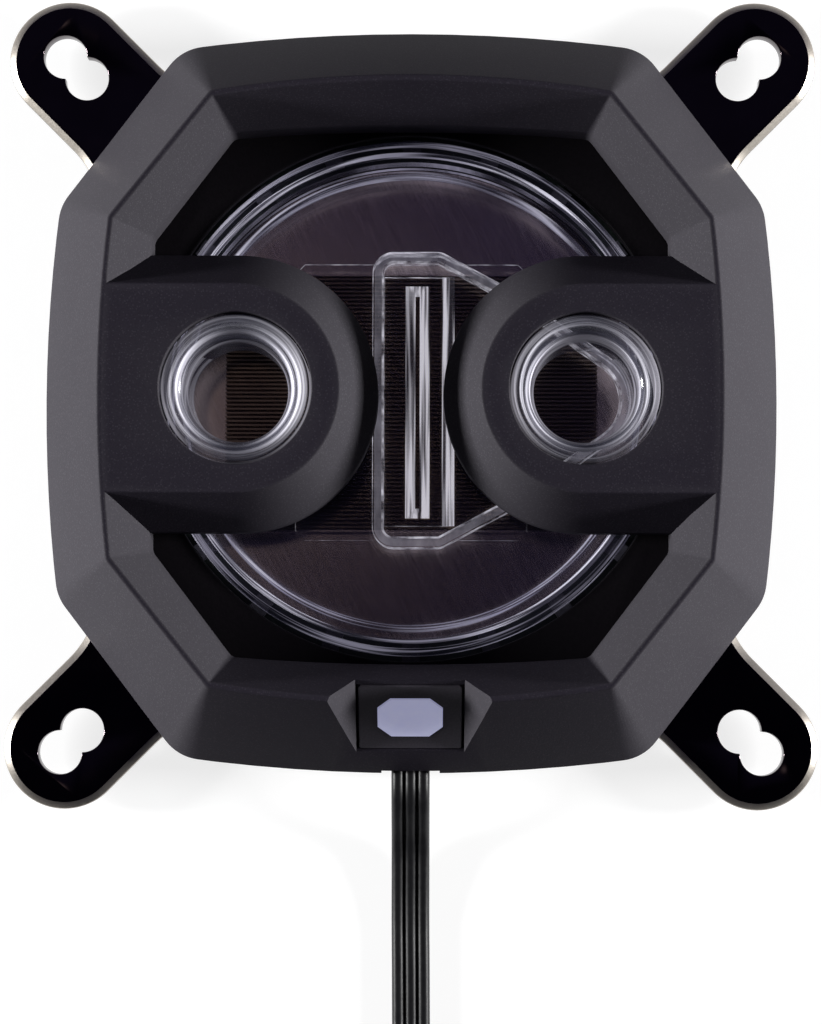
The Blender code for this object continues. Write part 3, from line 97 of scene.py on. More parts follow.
ARM_RIM = 3.05 * MM
ARM_SLOPE = 4.05 * MM
PORT_LIP = 0.15 * MM
BOSS_RADIUS = 2.3 * MM

# Screws
SCREW_RADIUS = 1.25 * MM
SCREW_HOLE_RADIUS = SCREW_RADIUS + GAP
SCREW_HEAD_RADIUS = 2.2 * MM
DRIVE_RADIUS = 1.05 * MM
DRIVE_DEPTH = 0.7 * MM
SCREW_HEAD_HEIGHT = 1.1 * MM
PAN_ROUNDING = 0.6 * MM
COVER_SCREW_Y = 13.0 * MM
COVER_SCREW_BITE = 4.5 * MM
COVER_SCREW_X = CHAMBER_HIGH.x + GAP + BOSS_RADIUS
BOSS_HOLE_TOP = BRACKET_HIGH.z + COVER_SCREW_BITE + GAP
BOSS_TOP = BOSS_HOLE_TOP + 1.2 * MM

# Badge
BADGE_TOP_DROP = 4.0 * MM
BADGE_BOTTOM_DROP = 12.0 * MM
BADGE_HALF_WIDTH = 6.0 * MM
BADGE_FLARE = 0.652
BADGE_NOTCH_DEPTH = 10.0 * MM
BADGE_THICKNESS = 1.3 * MM
BADGE_LIP = 0.6 * MM
BADGE_BACKING = 1.5 * MM
BADGE_SHAFT_EDGE = 1.0 * MM
BADGE_LENS_HALF = (3.6 * MM, 2.9 * MM)
BADGE_LENS_CORNER = 1.5 * MM
BADGE_LENS_THICKNESS = 0.6 * MM
BADGE_LENS_PROUD = 0.1 * MM

# Bracket
BRACKET_HALF = 35.825 * MM
BRACKET_LUG = (39.425 * MM, 16.6 * MM)
BRACKET_CORNER = 1.5 * MM
RIM_WIDTH = 0.8 * MM
RIM_DEPTH = 0.5 * MM
EAR_CENTRE = 39.5 * MM
EAR_RADIUS = 6.95 * MM
EAR_ROOT_RADIUS = 11.0 * MM
EAR_HOLES = (37.5 * MM, 40.0 * MM)
EAR_HOLE_RADIUS = 2.5 * MM
HOLE_EDGE = 0.15 * MM

# A clear piece's face counts as a wall where its normal's Z is under this
LEVEL_FACE = 0.97

# Skived fins
FIN_FIELD = (21.3 * MM, 14.5 * MM)
FIN_DEPTH = 0.4 * MM

# Flow chamber
NECK_HALF = 31.025 * MM
NECK_CORNER = 7.0 * MM
FLANGE_HALF = CHAMBER_HIGH.x
FLANGE_CORNER = 14.0 * MM
FLANGE_BOTTOM = COVER_BOTTOM
FLANGE_TOP = FLANGE_BOTTOM + 1.5 * MM
PLATE_TOP = CHAMBER_LOW.z - GAP
CAVITY_RADIUS = 25.425 * MM
CAVITY_FOOT_RADIUS = 26.225 * MM
CORE_RADIUS = 27.025 * MM
WINDOW_RADIUS = 29.025 * MM
WINDOW_STEP = 0.6 * MM
CAVITY_TOP = GUIDE_HIGH.z + GAP
WINDOW_TOP = CAVITY_TOP + 2.7 * MM
WINDOW_BOTTOM = CAVITY_TOP - 0.5 * MM
SEAL_RADIUS = 28.125 * MM
SEAL_REACH = 0.9 * MM
SEAL_DEPTH = 1.5 * MM
PLATE_SCREW_PLACES = (27.625 * MM, 19.0 * MM)
PLATE_SCREW_BITE = 2.7 * MM
PORT_X = 19.025 * MM
COLLAR_TOP = CHAMBER_HIGH.z
COLLAR_RADIUS = 8.0 * MM
COLLAR_BEVEL = 0.4 * MM
PORT_BORE_RADIUS = 5.5 * MM
PORT_THREAD_RADIUS = 6.3 * MM
PORT_THREAD_DEPTH = 5.3 * MM
PORT_MOUTH_RADIUS = 7.2 * MM
PORT_COUNTERSINK = 0.9 * MM
THREAD_PITCH = 1.337 * MM
THREAD_CREST = 5.95 * MM
THREAD_ROOT = 6.55 * MM

# Inlet guide
GUIDE_PLATE_HALF = (13.2 * MM, 15.8 * MM)
GUIDE_PLATE_CHAMFER = 1.0 * MM
GUIDE_WALL = 1.3 * MM
GUIDE_LEFT = -4.4 * MM
GUIDE_LEFT_RADIUS = 2.4 * MM
GUIDE_HALF_LENGTH = 16.8 * MM
GUIDE_SHOULDER_X = 3.4 * MM
GUIDE_SHOULDER_RADIUS = 1.8 * MM
GUIDE_KNEE = (11.5 * MM, 12.45 * MM)
GUIDE_KNEE_RADIUS = 4.0 * MM
GUIDE_END_RADIUS = 6.0 * MM
GUIDE_END_CLEARANCE = 0.5 * MM
GUIDE_SLOT = (-0.8 * MM, 2.2 * MM, 13.4 * MM)
GUIDE_STEP_X = 3.5 * MM
GUIDE_STEP_HEIGHT = 1.1 * MM
GUIDE_RAMP = 1.4 * MM
GUIDE_SLOT_EDGE = 1.25 * MM
GUIDE_BEVEL = 0.25 * MM
GUIDE_FLOOR = GUIDE_LOW.z + 0.6 * MM

# Deck plate
DECK_THICKNESS = 1.2 * MM
DECK_LIP = 0.2 * MM
DECK_OVERLAP = 1.6 * MM
DECK_POST_RADIUS = 1.0 * MM
DECK_POST_RING = WINDOW_RADIUS + 1.1 * MM + DECK_POST_RADIUS

# Ribbon cable: three round conductors side by side, and its strain relief
GROMMET_HALF_WIDTH = 3.0 * MM
GROMMET_FLANGE = 0.8 * MM
WIRE_RADIUS = 0.725 * MM
WIRE_COUNT = 3
RIBBON_HALF = WIRE_RADIUS * WIRE_COUNT
RIBBON_WEB = 0.2 * MM
CABLE_LIFT = 0.1 * MM
EXIT_HEIGHT = COVER_BOTTOM + 0.9 * MM
COIL_CENTRE = (COIL_LOW + COIL_HIGH) / 2
COIL_START_RADIUS = 24.3 * MM
COIL_PITCH = 1.54 * MM
COIL_TURNS = 3
TAIL_RADIUS = 11.0 * MM
TAIL_CENTRE_X = -12.35 * MM
TAIL_TURN_START = 50.0
TAIL_END_ANGLE = 120.0
PLUG_SIZE = (14.0 * MM, 9.6 * MM, 4.2 * MM)
PLUG_PITCH = 2.54 * MM
PLUG_MOUTH_HALF = 0.7 * MM
PLUG_MOUTH_DEPTH = 5.0 * MM
PLUG_WINDOW_HALF = 0.75 * MM
TIE_WIDTH = 3.0 * MM
TIE_THICKNESS = 0.4 * MM
TIE_HEAD = (5.0 * MM, 4.6 * MM, 2.6 * MM)

# Camera (its turns in degrees, each about an axis), softboxes, floor and sky
CAMERA_PLACE = (1.908 * MM, -29.932 * MM, 350.0 * MM)
CAMERA_TURNS = ((-0.1115, "Z"), (-0.3194, "Y"), (-2.8913, "X"))
CAMERA_SENSOR = 36.0
CAMERA_LENS = 106.26
SOFTBOX_PLACE = (0.58, 0.0, 0.188)
SOFTBOX_SIZE = (0.10, 0.09)
SOFTBOX_RADIANCE = 204.0
FLOOR_HALF = 3.0
FLOOR_DROP = 0.02 * MM
FLOOR_GLOW = 0.80
HORIZON = 0.12
CARD_PLACE = (-0.065, 0.085)
CARD_REACH = 0.042
CARD_EDGE = 40.0
STRIP_START = 0.02
STRIP_RISE = 7.0

# Facets of round forms and steps along the ribbon
ROUND = 128
PORT_ROUND = 96
SMALL_ROUND = 32
CORNER_STEPS = 8
ROUTE_STEPS = 5
COIL_STEPS = 60
TAIL_STEPS = 24

# The signs of X and Y in the four quarters, anticlockwise
QUARTERS = ((1, 1), (-1, 1), (-1, -1), (1, -1))


def arithmetic(operation, reflected=False):
    """A method that does one operation on two values of a node tree, the other one first if reflected."""
    def method(value, other):
        pair = (other, value) if reflected else (value, other)
        return value.nodes.node("Math", {"operation": operation}, dict(enumerate(pair)))
    return method


class Level:
    """A value in a node tree: arithmetic on it adds Math nodes."""

    def __init__(self, nodes, socket):
        self.nodes = nodes
        self.socket = socket

    __add__ = arithmetic("ADD")
    __radd__ = arithmetic("ADD", reflected=True)
    __sub__ = arithmetic("SUBTRACT")
    __rsub__ = arithmetic("SUBTRACT", reflected=True)
    __mul__ = arithmetic("MULTIPLY")
    __rmul__ = arithmetic("MULTIPLY", reflected=True)
    __truediv__ = arithmetic("DIVIDE")
    __rtruediv__ = arithmetic("DIVIDE", reflected=True)
    __pow__ = arithmetic("POWER")
    __rpow__ = arithmetic("POWER", reflected=True)
    __gt__ = arithmetic("GREATER_THAN")
    __lt__ = arithmetic("LESS_THAN")
    at_most = arithmetic("MINIMUM")
    at_least = arithmetic("MAXIMUM")

    def __abs__(self):
        return self.nodes.node("Math", {"operation": "ABSOLUTE"}, {0: self})

    def limited(self):
        """The value kept between nought and one."""
        return self.at_least(0.0).at_most(1.0)


class Nodes:
    """The nodes of one tree."""

    def __init__(self, tree):
        self.tree = tree

    def node(self, kind, settings=None, inputs=None, output=0):
        """Adds a node, applies its settings, then feeds its sockets."""
        made = self.tree.nodes.new("ShaderNode" + kind)
        for name, value in (settings or {}).items():
            setattr(made, name, value)
        for name, value in (inputs or {}).items():
            self.feed(made.inputs[name], value)
        return Level(self, made.outputs[output])

    def feed(self, socket, value):
        if isinstance(value, Level):
            self.tree.links.new(value.socket, socket)
        elif socket.type == "RGBA":
            socket.default_value = (*value, 1.0)
        else:
            socket.default_value = value

    def place(self):
        return self.node("TexCoord", output="Object")

    def axes(self, vector=None):
        """The three values of a vector, or of the piece's own coordinates."""
        return [self.node("SeparateXYZ", {}, {0: vector or self.place()}, output=i) for i in range(3)]

    def stretched(self, x, y, z, where=None):
        """A place, or the piece's own coordinates, scaled along each axis."""
        return self.node("Mapping", {}, {"Vector": where or self.place(), "Scale": (x, y, z)})

    def sideways(self):
        """How far the surface faces the block's sides, from nought to one; it steers the cover's painted
        side light.
        """
        return (abs(self.axes(self.node("NewGeometry", output="Normal"))[0]) * 1.6).at_most(1.0)

    def noise(self, size, detail=2.0, where=None):
        inputs = {"Vector": where or self.place(), "Scale": 1 / size, "Detail": detail}
        return self.node("TexNoise", {}, inputs)

    def grains(self, size):
        """Distance to the nearest point of a scatter."""
        return self.node("TexVoronoi", {}, {"Vector": self.place(), "Scale": 1 / size})

    def mix(self, share, first, second):
        return self.node("Mix", {"data_type": "RGBA"}, {0: share, 6: first, 7: second}, output=2)


class Finish(Nodes):
    """A Principled material and the nodes that vary it."""

    def __init__(self, name, **fixed):
        self.material = bpy.data.materials.new(name)
        self.material.use_nodes = True
        super().__init__(self.material.node_tree)
        self.shader = self.tree.nodes["Principled BSDF"]
        self.surface(**fixed)

    def surface(self, **values):
        """Sets or feeds the shader's sockets, named with underscores for spaces."""
        for name, value in values.items():
            self.feed(self.shader.inputs[name.replace("_", " ").title().replace("Ior", "IOR")], value)

    def edge_with_painted_glow(self, share, colours, painted_glows, roughness, alpha, tone_and_painted_light_share=None):
        """Clear plastic's edge: with a share it goes from dark to pale and denser, and takes on a faint
        painted glow.
        """
        tone_and_painted_light_share = tone_and_painted_light_share or share
        self.surface(Base_color=self.mix(tone_and_painted_light_share, *colours), Emission_color=self.mix(tone_and_painted_light_share, *painted_glows))
        self.surface(Roughness=roughness[0] + share * roughness[1], Alpha=alpha[0] + share * alpha[1])
        return self.material

    def relief(self, height, depth):
        """Bumps of a given depth."""
        self.surface(Normal=self.node("Bump", {}, {"Height": height, "Distance": depth, "Strength": 1.0}))


def grained(name, size, colours, roughness, depth=0.0, detail=3.0, scatter=False, **fixed):
    """A finish whose grain, a noise or a scatter, varies colour and roughness and may stand out."""
    finish = Finish(name, **fixed)
    grain = finish.grains(size) if scatter else finish.noise(size, detail)
    finish.surface(Base_color=finish.mix(grain, *colours), Roughness=roughness[0] + grain * roughness[1])
    if depth > 0:
        finish.relief(grain, depth)
    return finish.material


# Clear edges emit light of their own: a painted glow
CLEAR_EDGE_PAINTED_GLOW = {"IOR": 1.49, "emission_strength": 1.0}


def cover_plastic():
    """Charcoal moulding with a fine spark-eroded grain. Its faces towards the sides get a lighter base
    colour as painted light, and its flat faces a darker one as painted shade.
    """
    finish = Finish("cover_plastic", specular_IOR_level=0.012)
    grain = finish.noise(0.22 * MM, 3.0)
    patch = finish.noise(9.0 * MM, 2.0)
    speck = finish.grains(0.32 * MM)
    light = ((speck < 0.26) * 0.5 + grain * 0.5 + patch * 0.15).at_most(1.0)
    # sides is the painted lit colour and level the painted shaded colour of one plastic
    sides = finish.mix(light, (0.044, 0.041, 0.048), (0.080, 0.076, 0.086))
    level = finish.mix(light, (0.0145, 0.0125, 0.0185), (0.0345, 0.031, 0.041))
    finish.surface(Base_color=finish.mix(finish.sideways(), level, sides))
    finish.surface(Roughness=0.46 + grain * 0.12)
    finish.relief(grain, 0.02 * MM)
    return finish.material


def clear_acrylic():
    """Polished clear faces, nearly invisible, with a blue cast."""
    finish = Finish("clear_acrylic", IOR=1.49)
    haze = finish.noise(9.0 * MM, 2.0)
    finish.surface(Base_color=finish.mix(haze, (0.22, 0.20, 0.42), (0.32, 0.30, 0.52)))
    finish.surface(Roughness=0.04 + haze * 0.02, Alpha=0.006 + haze * 0.008)
    return finish.material


def ringed(finish, size, detail, away):
    """Noise that runs in rings, by the distance from their middle."""
    x, y, _ = finish.axes()
    return finish.noise(size, detail, finish.node("CombineXYZ", {}, {0: away, 1: x * 0.02, 2: y * 0.02}))


def edge_acrylic():
    """The chamber's upright walls, steps and bevels, with rings about the window's middle and a faint
    painted glow.
    """
    finish = Finish("edge_acrylic", **CLEAR_EDGE_PAINTED_GLOW)
    x, y, _ = finish.axes()
    rings = ((ringed(finish, 0.24 * MM, 1.0, (x * x + y * y) ** 0.5) - 0.42) * 4.5).limited()
    colours = (0.16, 0.15, 0.22), (0.82, 0.81, 0.92)
    painted_glows = (0.004, 0.004, 0.008), (0.16, 0.155, 0.205)
    return finish.edge_with_painted_glow(rings, colours, painted_glows, (0.12, 0.12), (0.25, 0.6))


def guide_acrylic():
    """The guide's jet and ramp, with pale lines along the slot: painted highlights that carry a painted
    glow.
    """
    finish = Finish("guide_acrylic", **CLEAR_EDGE_PAINTED_GLOW)
    lines = ((finish.noise(0.42 * MM, 1.0, finish.stretched(1.0, 0.03, 0.4)) - 0.36) * 4.0).limited()
    colours = (0.22, 0.21, 0.28), (0.88, 0.87, 0.93)
    painted_glows = (0.030, 0.030, 0.040), (0.52, 0.51, 0.56)
    return finish.edge_with_painted_glow(lines, colours, painted_glows, (0.12, 0.12), (0.20, 0.65))


def wall_acrylic():
    """The guide's other upright walls and their bevels, with a painted glow."""
    finish = Finish("wall_acrylic", **CLEAR_EDGE_PAINTED_GLOW)
    cloud = ((finish.noise(1.6 * MM, 3.0) - 0.35) * 3.0).limited()
    colours = (0.40, 0.39, 0.47), (0.90, 0.89, 0.96)
    painted_glows = (0.06, 0.06, 0.075), (0.50, 0.49, 0.55)
    return finish.edge_with_painted_glow(cloud, colours, painted_glows, (0.10, 0.1), (0.35, 0.55))


def wall_top_acrylic():
    """The upper face of the guide's wall, with a faint painted glow."""
    finish = Finish("wall_top_acrylic", **CLEAR_EDGE_PAINTED_GLOW)
    cloud = finish.noise(1.8 * MM, 3.0, finish.stretched(1.0, 0.4, 1.0))
    colours = (0.30, 0.29, 0.38), (0.80, 0.79, 0.88)
    painted_glows = (0.01, 0.01, 0.018), (0.24, 0.235, 0.28)
    return finish.edge_with_painted_glow(cloud, colours, painted_glows, (0.10, 0.1), (0.15, 0.6))


def collar_acrylic():
    """The port collars, with turned rings that are painted brightest towards the block's sides as a
    painted highlight, and a faint painted glow.
    """
    finish = Finish("collar_acrylic", **CLEAR_EDGE_PAINTED_GLOW)
    x, y, _ = finish.axes()
    across = abs(x) - PORT_X
    away = (across * across + y * y) ** 0.5
    rings = ((ringed(finish, 0.34 * MM, 2.0, away) - 0.40) * 3.6).limited()
    towards_sides = abs(across) / away
    # towards_sides makes the rings a painted highlight where they face the side softboxes
    tone_and_painted_light_share = rings * (0.14 + towards_sides * towards_sides * 0.86)
    colours = (0.08, 0.08, 0.105), (0.84, 0.83, 0.92)
    painted_glows = (0.004, 0.004, 0.008), (0.34, 0.33, 0.37)
    return finish.edge_with_painted_glow(rings, colours, painted_glows, (0.10, 0.10), (0.45, 0.5), tone_and_painted_light_share)


def brushed_nickel():
    """Nickel-plated copper with slanting brush marks, darker on the skived fins."""
    finish = Finish("nickel_plate", metallic=1.0)
    turned_place = finish.node("Mapping", {}, {"Vector": finish.place(), "Rotation": (0.0, 0.0, 1.1)})
    marks = finish.noise(0.14 * MM, 3.0, finish.stretched(0.05, 1.0, 1.0, turned_place))
    stain = finish.noise(8.0 * MM, 3.0)
    x, y, z = finish.axes()
    within = (abs(x) < FIN_FIELD[0]) * (abs(y) < FIN_FIELD[1])
    on_fins = within * (z > PLATE_TOP - FIN_DEPTH)
    plate = finish.mix(marks, (0.30, 0.24, 0.22), (0.80, 0.70, 0.66))
    fins = finish.mix(stain, (0.16, 0.125, 0.10), (0.30, 0.235, 0.19))
    finish.surface(Base_color=finish.mix(on_fins, plate, fins))
    finish.surface(Roughness=0.13 + marks * 0.12)
    finish.relief(marks, 0.001 * MM)
    return finish.material


COVER_PLASTIC = cover_plastic()
# The badge insert is the cover's plastic made lighter: painted light against the shade in the badge notch
LIGHTENED_INSERT_PLASTIC = grained("lightened_insert_plastic", 0.25 * MM, ((0.032, 0.029, 0.037), (0.060, 0.054, 0.068)),
                         (0.46, 0.12), 0.015 * MM, specular_IOR_level=0.1)
DECK_PLASTIC = grained("deck_plastic", 0.3 * MM, ((0.0016, 0.0011, 0.0019), (0.0044, 0.0030, 0.0048)),
                       (0.45, 0.12), 0.015 * MM, specular_IOR_level=0.15)
CLEAR_ACRYLIC = clear_acrylic()
EDGE_ACRYLIC = edge_acrylic()
COLLAR_ACRYLIC = collar_acrylic()
GUIDE_ACRYLIC = guide_acrylic()
WALL_ACRYLIC = wall_acrylic()
WALL_TOP_ACRYLIC = wall_top_acrylic()
NICKEL_PLATE = brushed_nickel()
BLACK_NICKEL = grained("black_nickel", 4.0 * MM, ((0.05, 0.04, 0.045), (0.08, 0.065, 0.07)),
                       (0.08, 0.05), detail=2.0, metallic=1.0)
GROUND_RIM = grained("ground_rim", 0.15 * MM, ((0.34, 0.31, 0.27), (0.52, 0.48, 0.43)),
                     (0.28, 0.12), 0.004 * MM, metallic=1.0)
SCREW_STEEL = grained("screw_steel", 0.4 * MM, ((0.38, 0.38, 0.39), (0.52, 0.52, 0.53)),
                      (0.25, 0.15), 0.004 * MM, metallic=1.0)
SEAL_RUBBER = grained("seal_rubber", 0.5 * MM, ((0.010, 0.010, 0.010), (0.018, 0.018, 0.018)),
                      (0.65, 0.2), 0.01 * MM)
BOARD_LAMINATE = grained("board_laminate", 0.5 * MM, ((0.010, 0.016, 0.014), (0.018, 0.026, 0.023)),
                         (0.35, 0.2), 0.01 * MM, scatter=True)
LIGHT_BODY = grained("light_body", 0.4 * MM, ((0.060, 0.058, 0.075), (0.030, 0.029, 0.040)),
                     (0.25, 0.1), scatter=True)
# The badge lens emits light of its own: a painted glow
LENS_DIFFUSER_PAINTED_GLOW = grained("lens_diffuser", 1.4 * MM, ((0.60, 0.61, 0.84), (0.72, 0.73, 0.94)), (0.35, 0.1),
                        detail=2.0, emission_color=(0.20, 0.205, 0.31), emission_strength=1.0)
CABLE_JACKET = grained("cable_jacket", 0.6 * MM, ((0.005, 0.005, 0.006), (0.010, 0.010, 0.011)),
                       (0.30, 0.15), 0.01 * MM, specular_IOR_level=0.3)
PLUG_PLASTIC = grained("plug_plastic", 0.3 * MM, ((0.010, 0.010, 0.011), (0.018, 0.018, 0.019)),
                       (0.42, 0.15), 0.01 * MM)

PIECES = bpy.data.collections.new("pieces")
bpy.context.scene.collection.children.link(PIECES)


def add_piece(name, mesh, material=None):
    """Links a mesh as an object."""
    piece = bpy.data.objects.new(name, mesh)
    if material:
        mesh.materials.clear()
        mesh.materials.append(material)
    PIECES.objects.link(piece)
    return piece


def mesh_of(name, form):
    """Turns a bmesh into a mesh and frees it."""
    mesh = bpy.data.meshes.new(name)
    form.to_mesh(mesh)
    form.free()
    return mesh


def arc(centre, radius, start, end, steps):
    """Points on an arc, angles in degrees."""
    points = []
    for i in range(steps + 1):
        angle = math.radians(start + (end - start) * i / steps)
        points.append((centre[0] + radius * math.cos(angle), centre[1] + radius * math.sin(angle)))
    return points


def round_corners(corners, steps=CORNER_STEPS):
    """A closed outline from (x, y, radius) corners, each rounded by its own radius."""
    outline = []
    for i, (x, y, radius) in enumerate(corners):
        here = Vector((x, y))
        if radius <= 0:
            outline.append((x, y))
            continue
        before = (Vector(corners[i - 1][:2]) - here).normalized()
        after = (Vector(corners[(i + 1) % len(corners)][:2]) - here).normalized()
        half_angle = before.angle(after) / 2
        centre = here + (before + after).normalized() * (radius / math.sin(half_angle))
        tangent = radius / math.tan(half_angle)
        first = (here + before * tangent) - centre
        last = (here + after * tangent) - centre
        sweep = first.angle_signed(last)
        for step in range(steps + 1):
            turned = first.copy()
            turned.rotate(Matrix.Rotation(-sweep * step / steps, 2))
            outline.append(tuple(centre + turned))
    return [p for i, p in enumerate(outline) if math.dist(p, outline[i - 1]) > 0.001 * MM]


def rounded_rectangle(half_x, half_y, radius):
    return round_corners([(sx * half_x, sy * half_y, radius) for sx, sy in QUARTERS])


def octagon(half_x, half_y, corner):
    """A rectangle with cut corners."""
    points = []
    for sx, sy in QUARTERS:
        pair = [(sx * half_x, sy * (half_y - corner)), (sx * (half_x - corner), sy * half_y)]
        if sx * sy < 0:
            pair.reverse()
        points += pair
    return points


def offset_outline(outline, distance):
    """Moves every edge of an anticlockwise outline outwards by a distance."""
    moved = []
    for i, point in enumerate(outline):
        here = Vector(point)
        back = (here - Vector(outline[i - 1])).normalized()
        ahead = (Vector(outline[(i + 1) % len(outline)]) - here).normalized()
        normal = Vector((back.y + ahead.y, -back.x - ahead.x)).normalized()
        stretch = normal.dot(Vector((back.y, -back.x)))
        moved.append(tuple(here + normal * (distance / stretch)))
    return moved


def at_height(outline, height):
    return [(x, y, height) for x, y in outline]


def levels(*pairs):
    """A loft's rings from outlines and their heights."""
    return [at_height(outline, height) for outline, height in pairs]


def softened(rings, reaches, closed=False, steps=3):
    """Rounds the edge that each ring makes in a loft, reaching so far along both faces."""
    result = []
    count = len(rings)
    for i, (ring, reach) in enumerate(zip(rings, reaches)):
        if reach <= 0 or (not closed and i in (0, count - 1)):
            result.append(ring)
            continue
        before, after = rings[i - 1], rings[(i + 1) % count]
        sections = []
        for a, b, c in zip(before, ring, after):
            a, b, c = Vector(a), Vector(b), Vector(c)
            start = b + (a - b).normalized() * min(reach, (a - b).length * 0.45)
            end = b + (c - b).normalized() * min(reach, (c - b).length * 0.45)
            shares = [s / steps for s in range(steps + 1)]
            sections.append([start * (1 - t) ** 2 + b * 2 * t * (1 - t) + end * t ** 2 for t in shares])
        result += [list(points) for points in zip(*sections)]
    return result


def loft(name, rings, material=None, closed=False):
    """Skins rings of equal count, with caps or as a closed loop."""
    form = bmesh.new()
    rows = [[form.verts.new(point) for point in ring] for ring in rings]
    count = len(rows[0])
    pairs = list(zip(rows, rows[1:]))
    if closed:
        pairs.append((rows[-1], rows[0]))
    for lower, upper in pairs:
        for i in range(count):
            j = (i + 1) % count
            form.faces.new((lower[i], lower[j], upper[j], upper[i]))
    if not closed:
        form.faces.new(list(reversed(rows[0])))
        form.faces.new(rows[-1])
    bmesh.ops.recalc_face_normals(form, faces=form.faces)
    return add_piece(name, mesh_of(name, form), material)


def slab(name, outline, bottom, top, material, edge=0.0):
    """A flat form with softened upper and lower edges."""
    if edge <= 0:
        return loft(name, levels((outline, bottom), (outline, top)), material)
    inner = offset_outline(outline, -2 * edge)
    rings = levels((inner, bottom), (outline, bottom), (outline, top), (inner, top))
    return loft(name, softened(rings, [0, edge, edge, 0]), material)


def evaluated_mesh(thing):
    """The mesh that an object's curve or modifiers make."""
    bpy.context.view_layer.update()
    graph = bpy.context.evaluated_depsgraph_get()
    return bpy.data.meshes.new_from_object(thing.evaluated_get(graph))


def prism(name, outlines, bottom, top, material=None, matrix=None):
    """A flat outline, with any holes, extruded between two heights from a 2D curve."""
    curve = bpy.data.curves.new(name, "CURVE")
    curve.dimensions = "2D"
    curve.fill_mode = "BOTH"
    curve.extrude = (top - bottom) / 2
    for outline in outlines:
        spline = curve.splines.new("POLY")
        spline.points.add(len(outline) - 1)
        for point, (x, y) in zip(spline.points, outline):
            point.co = (x, y, 0.0, 1.0)
        spline.use_cyclic_u = True
    drawing = bpy.data.objects.new(name + "_outline", curve)
    PIECES.objects.link(drawing)
    drawing.matrix_world = (matrix or Matrix()) @ Matrix.Translation((0, 0, (top + bottom) / 2))
    mesh = evaluated_mesh(drawing)
    mesh.transform(drawing.matrix_world)
    bpy.data.objects.remove(drawing)
    form = bmesh.new()
    form.from_mesh(mesh)
    bmesh.ops.remove_doubles(form, verts=form.verts, dist=0.00001)
    bmesh.ops.recalc_face_normals(form, faces=form.faces)
    form.to_mesh(mesh)
    form.free()
    return add_piece(name, mesh, material)


def turned(name, profile, material=None, place=(0, 0), steps=ROUND):
    """A (radius, height) profile spun about an upright axis, closed, or from axis to axis."""
    form = bmesh.new()
    verts = [form.verts.new((radius, 0.0, height)) for radius, height in profile]
    edges = [form.edges.new(pair) for pair in zip(verts, verts[1:])]
    if profile[0][0] > 0:
        edges.append(form.edges.new((verts[-1], verts[0])))
    bmesh.ops.spin(form, geom=verts + edges, cent=(0, 0, 0), axis=(0, 0, 1), angle=math.tau, steps=steps)
    bmesh.ops.remove_doubles(form, verts=form.verts, dist=0.000002)
    bmesh.ops.recalc_face_normals(form, faces=form.faces)
    bmesh.ops.translate(form, verts=form.verts, vec=(place[0], place[1], 0.0))
    return add_piece(name, mesh_of(name, form), material)


def cylinders(name, places, radius, bottom, top, material=None, steps=SMALL_ROUND):
    """Separate upright cylinders in one mesh."""
    form = bmesh.new()
    for x, y in places:
        middle = Matrix.Translation((x, y, (bottom + top) / 2))
        bmesh.ops.create_cone(form, cap_ends=True, segments=steps, radius1=radius, radius2=radius,
                              depth=top - bottom, matrix=middle)
    return add_piece(name, mesh_of(name, form), material)


def block(name, low, high, material=None, edge=0.0):
    """A box between two corners, with softened edges."""
    size = Vector(high) - Vector(low)
    middle = (Vector(high) + Vector(low)) / 2
    form = bmesh.new()
    place = Matrix.Translation(middle) @ Matrix.Diagonal((*size, 1.0))
    bmesh.ops.create_cube(form, size=1.0, matrix=place)
    if edge > 0:
        bmesh.ops.bevel(form, geom=form.edges[:], offset=edge, segments=3, profile=0.5, affect="EDGES")
    return add_piece(name, mesh_of(name, form), material)


def corners_of(x, y):
    """The four places (x, y) mirrored in both axes."""
    return [(sx * x, sy * y) for sx, sy in QUARTERS]


def combine(piece, other, operation):
    """Applies a Boolean at once and removes the helper."""
    modifier = piece.modifiers.new("combine", "BOOLEAN")
    modifier.operation = operation
    modifier.solver = "EXACT"
    modifier.object = other
    mesh = evaluated_mesh(piece)
    piece.modifiers.clear()
    piece.data = mesh
    bpy.data.objects.remove(other)


def cut(piece, cutter):
    combine(piece, cutter, "DIFFERENCE")


def join(piece, other):
    combine(piece, other, "UNION")


def smooth(piece, angle=32.0):
    """Smooth shading with the creases kept."""
    piece.data.shade_smooth()
    piece.data.set_sharp_from_angle(angle=math.radians(angle))


def dress(piece, slot, *nodes):
    """Shades the piece smooth, rides it on the block and hides the nodes that it stands for. Its slot is
    not used.
    """
    smooth(piece)
    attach(piece, "root")
    if nodes:
        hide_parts(*nodes)
    return piece


def faceted_outline(half_width, half_length, chamfer, bulge, radius, steps=6):
    """The shroud's eight-sided outline: bowed sides and ends, straight chamfers, rounded corners."""
    side_corner_y = half_length - chamfer[1]
    end_corner_x = half_width - chamfer[0]
    quadrant = []
    for share in [i / steps for i in range(steps)]:
        quadrant.append((half_width - bulge[0] * share ** 2, side_corner_y * share, 0.0))
    quadrant.append((half_width - bulge[0], side_corner_y, radius))
    quadrant.append((end_corner_x, half_length - bulge[1], radius))
    for share in [i / steps for i in range(steps - 1, 0, -1)]:
        quadrant.append((end_corner_x * share, half_length - bulge[1] * share ** 2, 0.0))
    second = [(-x, y, r) for x, y, r in reversed(quadrant)]
    upper = quadrant + [(0.0, half_length, 0.0)] + second
    return round_corners(upper + [(-x, -y, r) for x, y, r in upper[1:-1]])


def well_outline():
    """The foot of the ridge's inner slopes."""
    return faceted_outline(WELL_HALF_WIDTH, WELL_HALF_LENGTH, WELL_CHAMFER, WELL_BULGE, WELL_CORNER)


